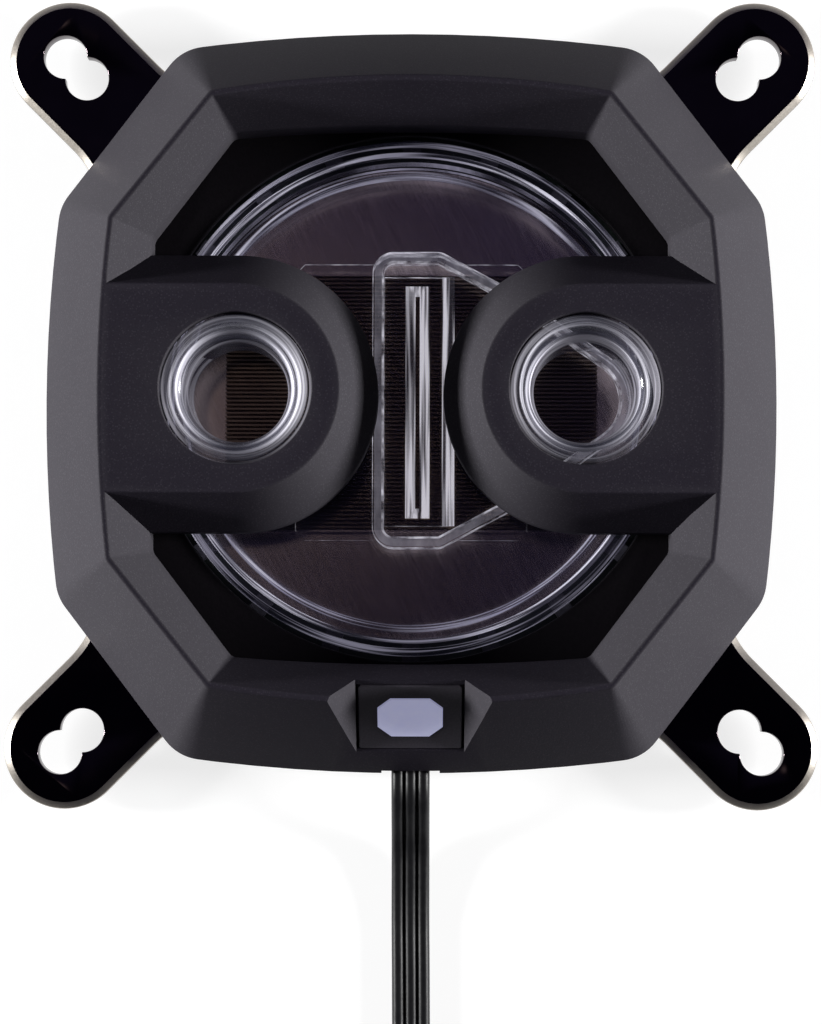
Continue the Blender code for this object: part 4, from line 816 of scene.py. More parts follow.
def arm_ring(radius, side, root_half, root_bulge, height):
    """One level of a port arm: round end about the port, root along the ridge."""
    corner = LAND_HALF_LENGTH - LAND_CHAMFER[1]
    points = [(2 * PORT_X - x, y) for x, y in arc((PORT_X, 0), radius, 90, -90, ROUND // 2)]
    for share in (-1, -2 / 3, -1 / 3, 0, 1 / 3, 2 / 3, 1):
        y = radius * share
        points.append((root_half - root_bulge * (y / corner) ** 2, y))
    points.reverse()
    if side < 0:
        points = [(-x, y) for x, y in reversed(points)]
    return at_height(points, height)


def make_arm(name, side):
    """A port arm: flat top level with the land, sloping flanks, upright foot."""
    top_radius = COLLAR_RADIUS + GAP + ARM_RIM
    foot_radius = top_radius + ARM_SLOPE
    root = LAND_HALF_WIDTH - LAND_WIDTH / 2
    foot = WELL_HALF_WIDTH + COVER_WALL / 2
    inset = 1.0 * MM
    rings = [
        arm_ring(foot_radius, side, foot, 0.0, WINDOW_TOP + GAP),
        arm_ring(foot_radius, side, foot, 0.0, WELL_SLOPE_FOOT),
        arm_ring(top_radius, side, root, LAND_BULGE[0], COVER_TOP),
        arm_ring(top_radius - inset, side, root - inset, LAND_BULGE[0], COVER_TOP),
    ]
    return loft(name, softened(rings, [0, EDGE_SOFTNESS, EDGE_SOFTNESS, 0]), COVER_PLASTIC)


def make_arm_hollow(name, side):
    """The space under a port arm, open below and into the ridge."""
    lean = ARM_SLOPE / WELL_SLOPE_HEIGHT
    sideways = COVER_WALL * math.sqrt(1 + lean ** 2)
    top_radius = COLLAR_RADIUS + GAP + ARM_RIM + lean * COVER_WALL - sideways
    foot_radius = COLLAR_RADIUS + GAP + ARM_RIM + ARM_SLOPE - sideways
    root = LAND_HALF_WIDTH - LAND_BULGE[0] - LAND_WIDTH
    rings = [
        arm_ring(foot_radius, side, root, 0.0, WINDOW_TOP + GAP - 2 * OVERCUT),
        arm_ring(foot_radius, side, root, 0.0, WELL_SLOPE_FOOT),
        arm_ring(top_radius, side, root, 0.0, COVER_TOP - COVER_WALL),
    ]
    return loft(name, rings)


def badge_frame():
    """Matrix of the badge's face (local Y up the slope, Z out) and its length."""
    outer_share = BADGE_BOTTOM_DROP / (COVER_TOP - SKIRT_TOP)
    inner_share = BADGE_TOP_DROP / WELL_SLOPE_HEIGHT
    land_edge = LAND_HALF_LENGTH - LAND_WIDTH
    low_y = LAND_HALF_LENGTH + OUTER_SLOPE_Y * outer_share
    high_y = land_edge - (land_edge - WELL_HALF_LENGTH) * inner_share
    low = Vector((0.0, -low_y, COVER_TOP - BADGE_BOTTOM_DROP))
    high = Vector((0.0, -high_y, COVER_TOP - BADGE_TOP_DROP))
    slope = high - low
    tilt = math.atan2(slope.z, slope.y)
    return Matrix.Translation((low + high) / 2) @ Matrix.Rotation(tilt, 4, "X"), slope.length


def tapered_box(name, low_half, high_half, bottom, top, matrix):
    """A cutter whose upper face is larger than its lower one, in a tilted frame."""
    lower = [matrix @ Vector((x, y, bottom)) for x, y in rounded_rectangle(*low_half, 0.0)]
    upper = [matrix @ Vector((x, y, top)) for x, y in rounded_rectangle(*high_half, 0.0)]
    return loft(name, [lower, upper])


def make_badge_backing(face, length):
    """Fills the ridge behind the badge, from the middle of its outer wall to that of its inner one."""
    inset = COVER_WALL / 2
    depth = BADGE_THICKNESS + GAP + BADGE_BACKING
    foot = face @ Vector((0.0, -length / 2, -depth))
    heel = face @ Vector((0.0, length / 2, -depth))
    well_wall = -WELL_HALF_LENGTH - inset
    heel = foot.lerp(heel, (well_wall - foot.y) / (heel.y - foot.y))
    crown = COVER_TOP - COVER_ROOF / 2
    lean = OUTER_SLOPE_Y / (COVER_TOP - SKIRT_TOP)
    outer_foot = inset - LAND_HALF_LENGTH - lean * (COVER_TOP - foot.z)
    outer_crown = inset - LAND_HALF_LENGTH - lean * (COVER_TOP - crown)
    land_edge = LAND_HALF_LENGTH - LAND_WIDTH
    inner_share = (COVER_TOP - crown) / WELL_SLOPE_HEIGHT
    inner_crown = (land_edge - WELL_HALF_LENGTH) * inner_share - land_edge - inset
    section = [(outer_foot, foot.z), (foot.y, foot.z), (heel.y, heel.z), (inner_crown, crown)]
    section.append((outer_crown, crown))
    rise = (face.inverted() @ Vector((0.0, -LAND_HALF_LENGTH, COVER_TOP))).z
    half = BADGE_HALF_WIDTH + BADGE_FLARE * rise + COVER_WALL
    along_x = Matrix(((0, 0, 1, 0), (1, 0, 0, 0), (0, 1, 0, 0), (0, 0, 0, 1)))
    return prism("badge_backing", [section], -half, half, COVER_PLASTIC, along_x)


def ridge_rings():
    """The ridge's section at every point of the outline, from its foot round to the inside."""
    outer = faceted_outline(COVER_HALF_WIDTH, COVER_HALF_LENGTH, COVER_CHAMFER, COVER_BULGE, COVER_CORNER)
    land = faceted_outline(LAND_HALF_WIDTH, LAND_HALF_LENGTH, LAND_CHAMFER, LAND_BULGE, LAND_CORNER)
    well = well_outline()
    land_inner = offset_outline(land, -LAND_WIDTH)
    skirt_inner = offset_outline(outer, -COVER_WALL)
    well_back = offset_outline(well, COVER_WALL)
    roof = COVER_TOP - COVER_ROOF
    rings = levels(
        (offset_outline(outer, -FOOT_BEVEL), COVER_BOTTOM),
        (outer, COVER_BOTTOM + FOOT_BEVEL),
        (outer, SKIRT_TOP),
        (land, COVER_TOP),
        (land_inner, COVER_TOP),
        (well, WELL_SLOPE_FOOT),
        (well, WELL_BOTTOM),
        (well_back, WELL_BOTTOM),
        (well_back, WELL_SLOPE_FOOT),
        (land_inner, roof),
        (land, roof),
        (skirt_inner, SKIRT_TOP),
        (skirt_inner, COVER_BOTTOM),
    )
    return softened(rings, [EDGE_SOFTNESS] * 7 + [0] * 5 + [EDGE_SOFTNESS], closed=True)


def round_opening(name, radius, lip, top, bottom, place=(0, 0), steps=ROUND, lip_steps=3):
    """A round cutter that rounds the opening's upper edge."""
    profile = [(0.0, top + OVERCUT), (radius + lip, top + OVERCUT)]
    profile += arc((radius + lip, top - lip), lip, 90, 180, lip_steps)
    profile += [(radius, bottom), (0.0, bottom)]
    return turned(name, profile, place=place, steps=steps)


def make_shroud():
    """The faceted ridge with its two port arms, badge notch and cable notch."""
    shroud = loft("shroud", ridge_rings(), COVER_PLASTIC, closed=True)
    for label, side in (("left", -1), ("right", 1)):
        join(shroud, make_arm(f"{label}_arm", side))
        cut(shroud, make_arm_hollow(f"{label}_arm_hollow", side))
        below = COVER_TOP - 2 * COVER_WALL
        opening = round_opening(f"{label}_port_opening", COLLAR_RADIUS + GAP, PORT_LIP, COVER_TOP, below,
                                (side * PORT_X, 0.0), PORT_ROUND, lip_steps=4)
        cut(shroud, opening)
    bosses = corners_of(COVER_SCREW_X, COVER_SCREW_Y)
    join(shroud, cylinders("bosses", bosses, BOSS_RADIUS, COVER_BOTTOM, BOSS_TOP, COVER_PLASTIC))
    low = COVER_BOTTOM - OVERCUT
    cut(shroud, cylinders("boss_holes", bosses, SCREW_HOLE_RADIUS, low, BOSS_HOLE_TOP))
    face, length = badge_frame()
    join(shroud, make_badge_backing(face, length))
    depth = BADGE_NOTCH_DEPTH
    low_half = (BADGE_HALF_WIDTH, length)
    high_half = (BADGE_HALF_WIDTH + BADGE_FLARE * depth, length)
    cut(shroud, tapered_box("badge_notch", low_half, high_half, 0.0, depth, face))
    seat_half = (BADGE_HALF_WIDTH, length / 2 - BADGE_LIP)
    seat = BADGE_THICKNESS + GAP
    cut(shroud, tapered_box("badge_seat", seat_half, seat_half, -seat, OVERCUT, face))
    shaft_half = [half - BADGE_SHAFT_EDGE for half in BADGE_LENS_HALF]
    low, high = -seat - BADGE_BACKING - OVERCUT, OVERCUT - seat
    cut(shroud, tapered_box("light_shaft", shaft_half, shaft_half, low, high, face))
    half = GROMMET_HALF_WIDTH + GAP
    low = (-half, COVER_LOW.y - OVERCUT, COVER_BOTTOM - OVERCUT)
    high = (half, COVER_LOW.y + 2 * COVER_WALL, GROMMET_HIGH.z + GAP)
    cut(shroud, block("cable_notch", low, high))
    return dress(shroud, "cover_plastic", "cover")


def make_badge():
    """The dark insert and its plain octagonal light window."""
    face, length = badge_frame()
    half_x = BADGE_HALF_WIDTH - GAP
    half_y = length / 2 - BADGE_LIP - GAP
    outline = rounded_rectangle(half_x, half_y, 0.3 * MM)
    panel = slab("badge_insert", outline, -BADGE_THICKNESS, 0.0, LIGHTENED_INSERT_PLASTIC, 0.1 * MM)
    half = BADGE_LENS_HALF
    pocket = octagon(half[0] + 0.08 * MM, half[1] + 0.08 * MM, BADGE_LENS_CORNER)
    floor = -BADGE_LENS_THICKNESS - GAP
    cut(panel, prism("lens_pocket", [pocket], floor, OVERCUT))
    panel.data.transform(face)
    dress(panel, "cover_plastic", "badge_panel")
    lens_outline = octagon(*half, BADGE_LENS_CORNER)
    lens = slab("badge_window", lens_outline, floor + GAP, BADGE_LENS_PROUD, LENS_DIFFUSER_PAINTED_GLOW, 0.08 * MM)
    lens.data.transform(face)
    dress(lens, "lens_diffuser", "badge_lens")


def bracket_outline():
    """Frame with side lugs and four round ears at 45 degrees, anticlockwise."""
    side = EAR_RADIUS * math.sqrt(2)
    tip = EAR_CENTRE + EAR_RADIUS * math.sqrt(2) / 2
    shoulder = (tip + side / 2, tip - side / 2)
    lug_root_y = BRACKET_LUG[1] + BRACKET_LUG[0] - BRACKET_HALF
    half_turn = math.tan(math.radians(45 / 2))
    straight = BRACKET_HALF - side - lug_root_y - BRACKET_CORNER * half_turn
    root_radius = min(EAR_ROOT_RADIUS, straight / half_turn)
    quadrant = [
        (BRACKET_LUG[0], BRACKET_LUG[1], BRACKET_CORNER),
        (BRACKET_HALF, lug_root_y, BRACKET_CORNER),
        (BRACKET_HALF, BRACKET_HALF - side, root_radius),
        (shoulder[0], shoulder[1], EAR_RADIUS),
        (shoulder[1], shoulder[0], EAR_RADIUS),
        (BRACKET_HALF - side, BRACKET_HALF, root_radius),
    ]
    upper = quadrant + [(-x, y, r) for x, y, r in reversed(quadrant)]
    return round_corners(upper + [(-x, -y, r) for x, y, r in upper], 20)


def make_bracket():
    """Gloss black plate with a ground band round its upper edge."""
    outline = bracket_outline()
    inner = offset_outline(outline, -RIM_WIDTH)
    low, high = BRACKET_LOW.z, BRACKET_HIGH.z
    rings = levels(
        (offset_outline(outline, -0.3 * MM), low),
        (outline, low + 0.2 * MM),
        (outline, high - RIM_DEPTH),
        (inner, high),
        (offset_outline(inner, -0.3 * MM), high),
    )
    bracket = loft("bracket", softened(rings, [0, 0.1 * MM, 0.12 * MM, 0.1 * MM, 0]), BLACK_NICKEL)
    bottom, top = low - OVERCUT, high + OVERCUT
    opening = rounded_rectangle(NECK_HALF + GAP, NECK_HALF + GAP, NECK_CORNER + GAP)
    cut(bracket, prism("neck_opening", [opening], bottom, top))
    holes = [(EAR_HOLE_RADIUS, place) for hole in EAR_HOLES for place in corners_of(hole, hole)]
    holes += [(SCREW_HOLE_RADIUS, place) for place in corners_of(COVER_SCREW_X, COVER_SCREW_Y)]
    for i, (radius, place) in enumerate(holes, 1):
        cut(bracket, round_opening(f"bracket_hole_{i}", radius, HOLE_EDGE, high, bottom, place, 48))
    bracket.data.materials.append(GROUND_RIM)
    paint_rim(bracket.data, high)
    return dress(bracket, "black_nickel", "mounting_bracket")


def paint_rim(mesh, top):
    """Gives the sloping band at the outline the ground finish."""
    for face in mesh.polygons:
        on_band = top - RIM_DEPTH - 0.05 * MM < face.center.z < top - 0.02 * MM
        if on_band and 0.2 < face.normal.z < 0.98 and not near_a_hole(face.center):
            face.material_index = 1


def paint_edges(piece):
    """Gives the chamber's walls and bevels, and its collars, their own finishes."""
    piece.data.materials.append(EDGE_ACRYLIC)
    piece.data.materials.append(COLLAR_ACRYLIC)
    mesh = piece.data
    for face in mesh.polygons:
        corners = [mesh.vertices[i].co for i in face.vertices]
        at_port = all(math.dist((abs(x), y), (PORT_X, 0.0)) < COLLAR_RADIUS + GAP for x, y, _ in corners)
        if at_port and face.center.z > CAVITY_TOP:
            face.material_index = 2
        elif abs(face.normal.z) < LEVEL_FACE and face.center.xy.length > CAVITY_RADIUS - WINDOW_STEP:
            face.material_index = 1


def paint_guide(piece):
    """Gives the guide's jet and ramp, its other walls and its wall's top their own finishes."""
    for material in (GUIDE_ACRYLIC, WALL_ACRYLIC, WALL_TOP_ACRYLIC):
        piece.data.materials.append(material)
    left, right = GUIDE_SLOT[0] - GAP, GUIDE_STEP_X + GUIDE_RAMP + GAP
    for face in piece.data.polygons:
        x, y, z = face.center
        if abs(face.normal.z) < LEVEL_FACE:
            in_trough = left < x < right and abs(y) < GUIDE_SLOT[2] + GAP
            face.material_index = 1 if in_trough else 2
        elif abs(z - GUIDE_HIGH.z) < 0.01 * MM:
            face.material_index = 3


def near_a_hole(point):
    """True at the edge of an ear's or a lug's hole."""
    places = [(hole, hole) for hole in EAR_HOLES] + [(COVER_SCREW_X, COVER_SCREW_Y)]
    reach = EAR_HOLE_RADIUS + 2 * HOLE_EDGE
    return any(math.dist((abs(point.x), abs(point.y)), place) < reach for place in places)


def bore_ring(x, radii, z):
    """One level of a port's bore, given by its radius at each of the circle's points."""
    return [(x + r * c, r * s, z) for r, (c, s) in zip(radii, circle(PORT_ROUND))]


def threaded_bore(name, x):
    """A port's bore with its pipe thread, as a cutter."""
    ledge = COLLAR_TOP - PORT_THREAD_DEPTH
    sink = COLLAR_TOP - PORT_COUNTERSINK
    mouth = [(PORT_MOUTH_RADIUS, COLLAR_TOP + OVERCUT), (PORT_MOUTH_RADIUS, COLLAR_TOP)]
    rings = [bore_ring(x, [radius] * PORT_ROUND, z) for radius, z in mouth]
    count = round((sink - ledge) / (THREAD_PITCH / 8))
    for k in range(count + 1):
        z = sink + (ledge - sink) * k / count
        fade = min(1.0, k / 3, (count - k) / 3)
        radii = []
        for i in range(PORT_ROUND):
            turn = (z / THREAD_PITCH + i / PORT_ROUND) % 1.0
            crest = 1 - abs(2 * turn - 1)
            wave = crest * crest * (3 - 2 * crest)
            cut_radius = THREAD_CREST + (THREAD_ROOT - THREAD_CREST) * wave
            radii.append(PORT_THREAD_RADIUS + (cut_radius - PORT_THREAD_RADIUS) * fade)
        rings.append(bore_ring(x, radii, z))
    for z in (ledge - 0.02 * MM, CAVITY_TOP - OVERCUT):
        rings.append(bore_ring(x, [PORT_BORE_RADIUS] * PORT_ROUND, z))
    return loft(name, rings)


def circle(steps):
    """Cosines and sines round a circle."""
    return [(math.cos(math.tau * i / steps), math.sin(math.tau * i / steps)) for i in range(steps)]


def make_chamber():
    """One clear moulding: neck, flange, stepped window, cavity and port collars."""
    neck = rounded_rectangle(NECK_HALF, NECK_HALF, NECK_CORNER)
    flange = rounded_rectangle(FLANGE_HALF, FLANGE_HALF, FLANGE_CORNER)
    rings = levels((neck, CHAMBER_LOW.z), (neck, FLANGE_BOTTOM))
    rings += levels((flange, FLANGE_BOTTOM), (flange, FLANGE_TOP))
    chamber = loft("clear_chamber", rings, CLEAR_ACRYLIC)
    step = WINDOW_STEP
    soft = 0.12 * MM
    pane = WINDOW_TOP - step * 0.75
    rim = WINDOW_RADIUS - step
    drum = [(0.0, pane), (CORE_RADIUS, pane), (CORE_RADIUS + step, WINDOW_TOP)]
    drum += [(rim - step / 2, WINDOW_TOP), (rim, WINDOW_TOP - step / 2), (rim, WINDOW_TOP - step)]
    drum += [(WINDOW_RADIUS, WINDOW_TOP - 2 * step)]
    drum += arc((WINDOW_RADIUS - soft, WINDOW_BOTTOM + soft), soft, 0, -90, 3)
    drum += [(CORE_RADIUS, WINDOW_BOTTOM), (CORE_RADIUS, FLANGE_BOTTOM), (0.0, FLANGE_BOTTOM)]
    join(chamber, turned("drum", drum, CLEAR_ACRYLIC))
    root = CAVITY_TOP + (WINDOW_TOP - CAVITY_TOP) / 2
    for i, x in enumerate((-PORT_X, PORT_X), 1):
        radius = COLLAR_RADIUS + GAP / 2
        collar = [(0.0, COLLAR_TOP)]
        collar += arc((radius - COLLAR_BEVEL, COLLAR_TOP - COLLAR_BEVEL), COLLAR_BEVEL, 90, 0, 6)
        collar += [(radius, root), (0.0, root)]
        join(chamber, turned(f"collar_{i}", collar, CLEAR_ACRYLIC, (x, 0.0), PORT_ROUND))
    cavity = [(0.0, CAVITY_TOP), (CAVITY_RADIUS + step * 0.75, CAVITY_TOP)]
    cavity += [(CAVITY_RADIUS, FLANGE_TOP), (CAVITY_FOOT_RADIUS, FLANGE_TOP - step)]
    cavity += [(CAVITY_FOOT_RADIUS, PLATE_TOP - OVERCUT), (0.0, PLATE_TOP - OVERCUT)]
    cut(chamber, turned("cavity", cavity))
    for i, x in enumerate((-PORT_X, PORT_X), 1):
        cut(chamber, threaded_bore(f"bore_{i}", x))
    groove_top = CHAMBER_LOW.z + SEAL_DEPTH
    groove = [(SEAL_RADIUS + SEAL_REACH, groove_top), (SEAL_RADIUS + SEAL_REACH, PLATE_TOP - OVERCUT)]
    groove += [(SEAL_RADIUS - SEAL_REACH, PLATE_TOP - OVERCUT), (SEAL_RADIUS - SEAL_REACH, groove_top)]
    cut(chamber, turned("groove", groove))
    low, high = PLATE_TOP - OVERCUT, PLATE_TOP + PLATE_SCREW_BITE + GAP
    cut(chamber, cylinders("neck_holes", plate_screw_places(), SCREW_HOLE_RADIUS, low, high))
    paint_edges(chamber)
    return dress(chamber, "clear_acrylic", "flow_chamber")


def plate_screw_places():
    far, near = PLATE_SCREW_PLACES
    return corners_of(far, near) + corners_of(near, far)


def guide_outline():
    """The funnel's outer wall. The angle between its flanks is found by halving."""
    knee_x, knee_y = GUIDE_KNEE
    end_x = CAVITY_RADIUS - GUIDE_END_CLEARANCE - GUIDE_END_RADIUS
    low, high = math.radians(5), math.radians(85)
    for _ in range(40):
        half_angle = (low + high) / 2
        apex = knee_x + knee_y / math.tan(half_angle)
        if apex - GUIDE_END_RADIUS / math.sin(half_angle) > end_x:
            low = half_angle
        else:
            high = half_angle
    upper = [
        (apex, 0.0, GUIDE_END_RADIUS),
        (knee_x, knee_y, GUIDE_KNEE_RADIUS),
        (GUIDE_SHOULDER_X, GUIDE_HALF_LENGTH, GUIDE_SHOULDER_RADIUS),
        (GUIDE_LEFT, GUIDE_HALF_LENGTH, GUIDE_LEFT_RADIUS),
    ]
    lower = [(x, -y, r) for x, y, r in reversed(upper[1:])]
    return round_corners(upper + lower, 12)


def rectangle(left, right, half_length, height):
    """An upright cutter's level, given by its sides in X and its half length in Y."""
    corners = ((left, -half_length), (right, -half_length), (right, half_length), (left, half_length))
    return at_height(corners, height)


def make_guide():
    """Clear plate over the fins with a slot, a stepped floor and the funnel's wall."""
    outer = guide_outline()
    inner = offset_outline(outer, -GUIDE_WALL)
    plate = octagon(*GUIDE_PLATE_HALF, GUIDE_PLATE_CHAMFER)
    guide = slab("clear_guide", outer, GUIDE_LOW.z, GUIDE_HIGH.z, CLEAR_ACRYLIC, GUIDE_BEVEL)
    join(guide, prism("guide_plate", [plate], GUIDE_LOW.z, GUIDE_FLOOR, CLEAR_ACRYLIC))
    mouth = offset_outline(inner, GUIDE_BEVEL)
    low = GUIDE_FLOOR + GUIDE_STEP_HEIGHT
    inside = levels((inner, low), (inner, GUIDE_HIGH.z - GUIDE_BEVEL))
    inside += levels((mouth, GUIDE_HIGH.z), (mouth, GUIDE_HIGH.z + OVERCUT))
    cut(guide, loft("guide_inside", inside))
    trough_half = GUIDE_HALF_LENGTH - 2 * GUIDE_WALL
    left = GUIDE_LEFT + GUIDE_WALL + 0.05 * MM
    floor = GUIDE_FLOOR - 0.02 * MM
    trough = [rectangle(left, GUIDE_STEP_X, trough_half, floor)]
    trough += [rectangle(left, GUIDE_STEP_X + GUIDE_RAMP, trough_half, z) for z in (low, low + OVERCUT)]
    cut(guide, loft("trough", trough))
    left, right, half = GUIDE_SLOT
    edge = GUIDE_SLOT_EDGE
    jet = (left + edge, right - edge, half - edge)
    slot = [rectangle(*jet, GUIDE_LOW.z - OVERCUT), rectangle(*jet, GUIDE_LOW.z + 0.1 * MM)]
    slot.append(rectangle(left, right, half, GUIDE_FLOOR + 0.03 * MM))
    cut(guide, loft("slot", slot))
    paint_guide(guide)
    return dress(guide, "clear_acrylic", "inlet_guide")


def make_deck():
    """The plate round the window, on four posts."""
    top = BEZEL_HIGH.z
    outline = offset_outline(well_outline(), DECK_OVERLAP)
    deck = slab("deck", outline, top - DECK_THICKNESS, top, DECK_PLASTIC)
    radius = WINDOW_RADIUS + 2 * GAP
    cut(deck, round_opening("window_hole", radius, DECK_LIP, top, top - 2 * DECK_THICKNESS))
    place = DECK_POST_RING / math.sqrt(2)
    places = corners_of(place, place)
    join(deck, cylinders("posts", places, DECK_POST_RADIUS, BEZEL_LOW.z, top - GAP, DECK_PLASTIC))
    return dress(deck, "deck_plastic", "window_bezel")


def hex_recess(name, place, low):
    """The socket in a screw's head, open downwards."""
    corners = [(place[0] + DRIVE_RADIUS * c, place[1] + DRIVE_RADIUS * s) for c, s in circle(6)]
    return loft(name, levels((corners, low - OVERCUT), (corners, low + DRIVE_DEPTH)))


def make_screws():
    """Countersunk plate screws and pan-head cover screws, driven from below."""
    for i, place in enumerate(plate_screw_places(), 1):
        low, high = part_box(f"cold_plate_screw_{i}")
        profile = [(0.0, high.z), (SCREW_RADIUS - 0.2 * MM, high.z), (SCREW_RADIUS, high.z - 0.3 * MM)]
        profile += [(SCREW_RADIUS, low.z + SCREW_HEAD_HEIGHT), (SCREW_HEAD_RADIUS, low.z + 0.1 * MM)]
        profile += [(SCREW_HEAD_RADIUS - 0.1 * MM, low.z), (0.0, low.z)]
        make_screw(f"plate_screw_{i}", profile, place, low.z, f"cold_plate_screw_{i}")
    for i, place in enumerate(corners_of(COVER_SCREW_X, COVER_SCREW_Y), 1):
        low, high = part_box(f"cover_screw_{i}")
        seat = low.z + SCREW_HEAD_HEIGHT
        profile = [(0.0, high.z), (SCREW_RADIUS - 0.3 * MM, high.z), (SCREW_RADIUS, high.z - 0.5 * MM)]
        profile += [(SCREW_RADIUS, seat), (SCREW_HEAD_RADIUS, seat), (SCREW_HEAD_RADIUS, seat - 0.5 * MM)]
        middle = (SCREW_HEAD_RADIUS - PAN_ROUNDING, low.z + PAN_ROUNDING)
        profile += arc(middle, PAN_ROUNDING, 0, -90, 5) + [(0.0, low.z)]
        make_screw(f"pan_screw_{i}", profile, place, low.z, f"cover_screw_{i}")


def make_screw(name, profile, place, low, node):
    screw = turned(name, profile, SCREW_STEEL, place, SMALL_ROUND)
    cut(screw, hex_recess(name + "_drive", place, low))
    dress(screw, "screw_steel", node)


def resting_height(tilt):
    """Height of the ribbon's middle line where its lower edge just clears the surface."""
    return CABLE_LIFT + WIRE_RADIUS + (RIBBON_HALF - WIRE_RADIUS) * math.cos(math.radians(tilt))


def smooth_route(points, steps):
    """A smooth curve through points of any number of values."""
    padded = [points[0]] + points + [points[-1]]
    route = []
    for i in range(1, len(padded) - 2):
        before, here, ahead, after = padded[i - 1:i + 3]
        for step in range(steps):
            t = step / steps
            values = []
            for a, b, c, d in zip(before, here, ahead, after):
                values.append((2 * b + (c - a) * t + (2 * a - 5 * b + 4 * c - d) * t ** 2
                               + (3 * b - a - 3 * c + d) * t ** 3) / 2)
            route.append(values)
    return route


def straight_points():
    """The part's route from the board socket to the coil: x, y, height and tilt."""
    start = SOCKET_LOW.y - GAP
    out = COVER_LOW.y
    flat = resting_height(90)
    return [
        (0.0, start, EXIT_HEIGHT, 90),
        (0.0, out, EXIT_HEIGHT, 90),
        (0.0, out - 3.5 * MM, EXIT_HEIGHT - 0.5 * MM, 90),
        (0.0, out - 8.0 * MM, EXIT_HEIGHT - 3.4 * MM, 90),
        (0.0, out - 12.0 * MM, flat + 0.6 * MM, 90),
        (0.0, out - 17.0 * MM, flat + 0.05 * MM, 90),
        (0.05 * MM, out - 23.0 * MM, flat, 90),
        (0.1 * MM, out - 29.5 * MM, flat, 90),
        (0.25 * MM, out - 34.5 * MM, resting_height(60), 60),
        (0.7 * MM, out - 39.5 * MM, resting_height(20), 20),
        (1.2 * MM, out - 44.5 * MM, RIBBON_HALF + COIL_LOW.z, 0),
        (1.75 * MM, out - 50.5 * MM, RIBBON_HALF + COIL_LOW.z, 0),
    ]


def coil_points():
    """Three turns on edge, spiralling inwards from the rightmost point, clockwise."""
    height = RIBBON_HALF + COIL_LOW.z
    points = []
    for i in range(COIL_TURNS * COIL_STEPS + 1):
        turn = i / COIL_STEPS
        radius = COIL_START_RADIUS - COIL_PITCH * turn
        angle = -math.tau * turn
        x = COIL_CENTRE.x + radius * math.cos(angle)
        points.append((x, COIL_CENTRE.y + radius * math.sin(angle), height, 0))
    return points


def tail_points():
    """From the coil's inner turn, curling inwards and turning flat for the plug."""
    first = COIL_CENTRE.x + COIL_START_RADIUS - COIL_PITCH * COIL_TURNS - TAIL_RADIUS
    high, low = RIBBON_HALF + COIL_LOW.z, PLUG_SIZE[2] / 2
    points = []
    for i in range(1, TAIL_STEPS + 1):
        angle = TAIL_END_ANGLE * i / TAIL_STEPS
        share = i / TAIL_STEPS
        middle = first + (TAIL_CENTRE_X - first) * share * share * (3 - 2 * share)
        x = middle + TAIL_RADIUS * math.cos(math.radians(-angle))
        y = COIL_CENTRE.y + TAIL_RADIUS * math.sin(math.radians(-angle))
        turned_share = max(0.0, (angle - TAIL_TURN_START) / (TAIL_END_ANGLE - TAIL_TURN_START))
        points.append((x, y, high + (low - high) * turned_share, 90 * turned_share))
    return points


def cable_route():
    """Every (place, tilt) along the ribbon."""
    route = []
    for x, y, height, tilt in smooth_route(straight_points(), ROUTE_STEPS):
        tilt = min(tilt, 90)
        route.append((Vector((x, y, max(height, resting_height(tilt)))), tilt))
    for x, y, height, tilt in coil_points() + tail_points():
        route.append((Vector((x, y, height)), tilt))
    return route


def ribbon_section():
    """Outline of three touching round conductors: across the ribbon, and through it."""
    groove = math.degrees(math.asin(RIBBON_WEB / WIRE_RADIUS))
    across = 2 * WIRE_RADIUS
    lobes = [across * (i - (WIRE_COUNT - 1) / 2) for i in reversed(range(WIRE_COUNT))]
    section = arc((lobes[0], 0.0), WIRE_RADIUS, groove - 180, 180 - groove, 14)
    section += arc((lobes[1], 0.0), WIRE_RADIUS, groove, 180 - groove, 7)
    section += arc((lobes[2], 0.0), WIRE_RADIUS, groove, 360 - groove, 14)
    section += arc((lobes[1], 0.0), WIRE_RADIUS, 180 + groove, 360 - groove, 7)
    return section


def make_ribbon():
    """The flat cable as one swept mesh along its whole route."""
    route = cable_route()
    places = [place for place, _ in route]
    rings = []
    for i, (place, tilt) in enumerate(route):
        ahead = (places[min(i + 1, len(places) - 1)] - places[max(i - 1, 0)]).normalized()
        side = ahead.cross(Vector((0, 0, 1))).normalized()
        up = side.cross(ahead)
        turn = math.radians(tilt)
        across = side * math.sin(turn) + up * math.cos(turn)
        through = across.cross(ahead)
        rings.append([place + across * a + through * b for a, b in ribbon_section()])
    ribbon = loft("ribbon_cable", rings, CABLE_JACKET)
    dress(ribbon, "cable_jacket", "rgb_cable", "rgb_cable_coil", "rgb_cable_tail")
    return ribbon, places


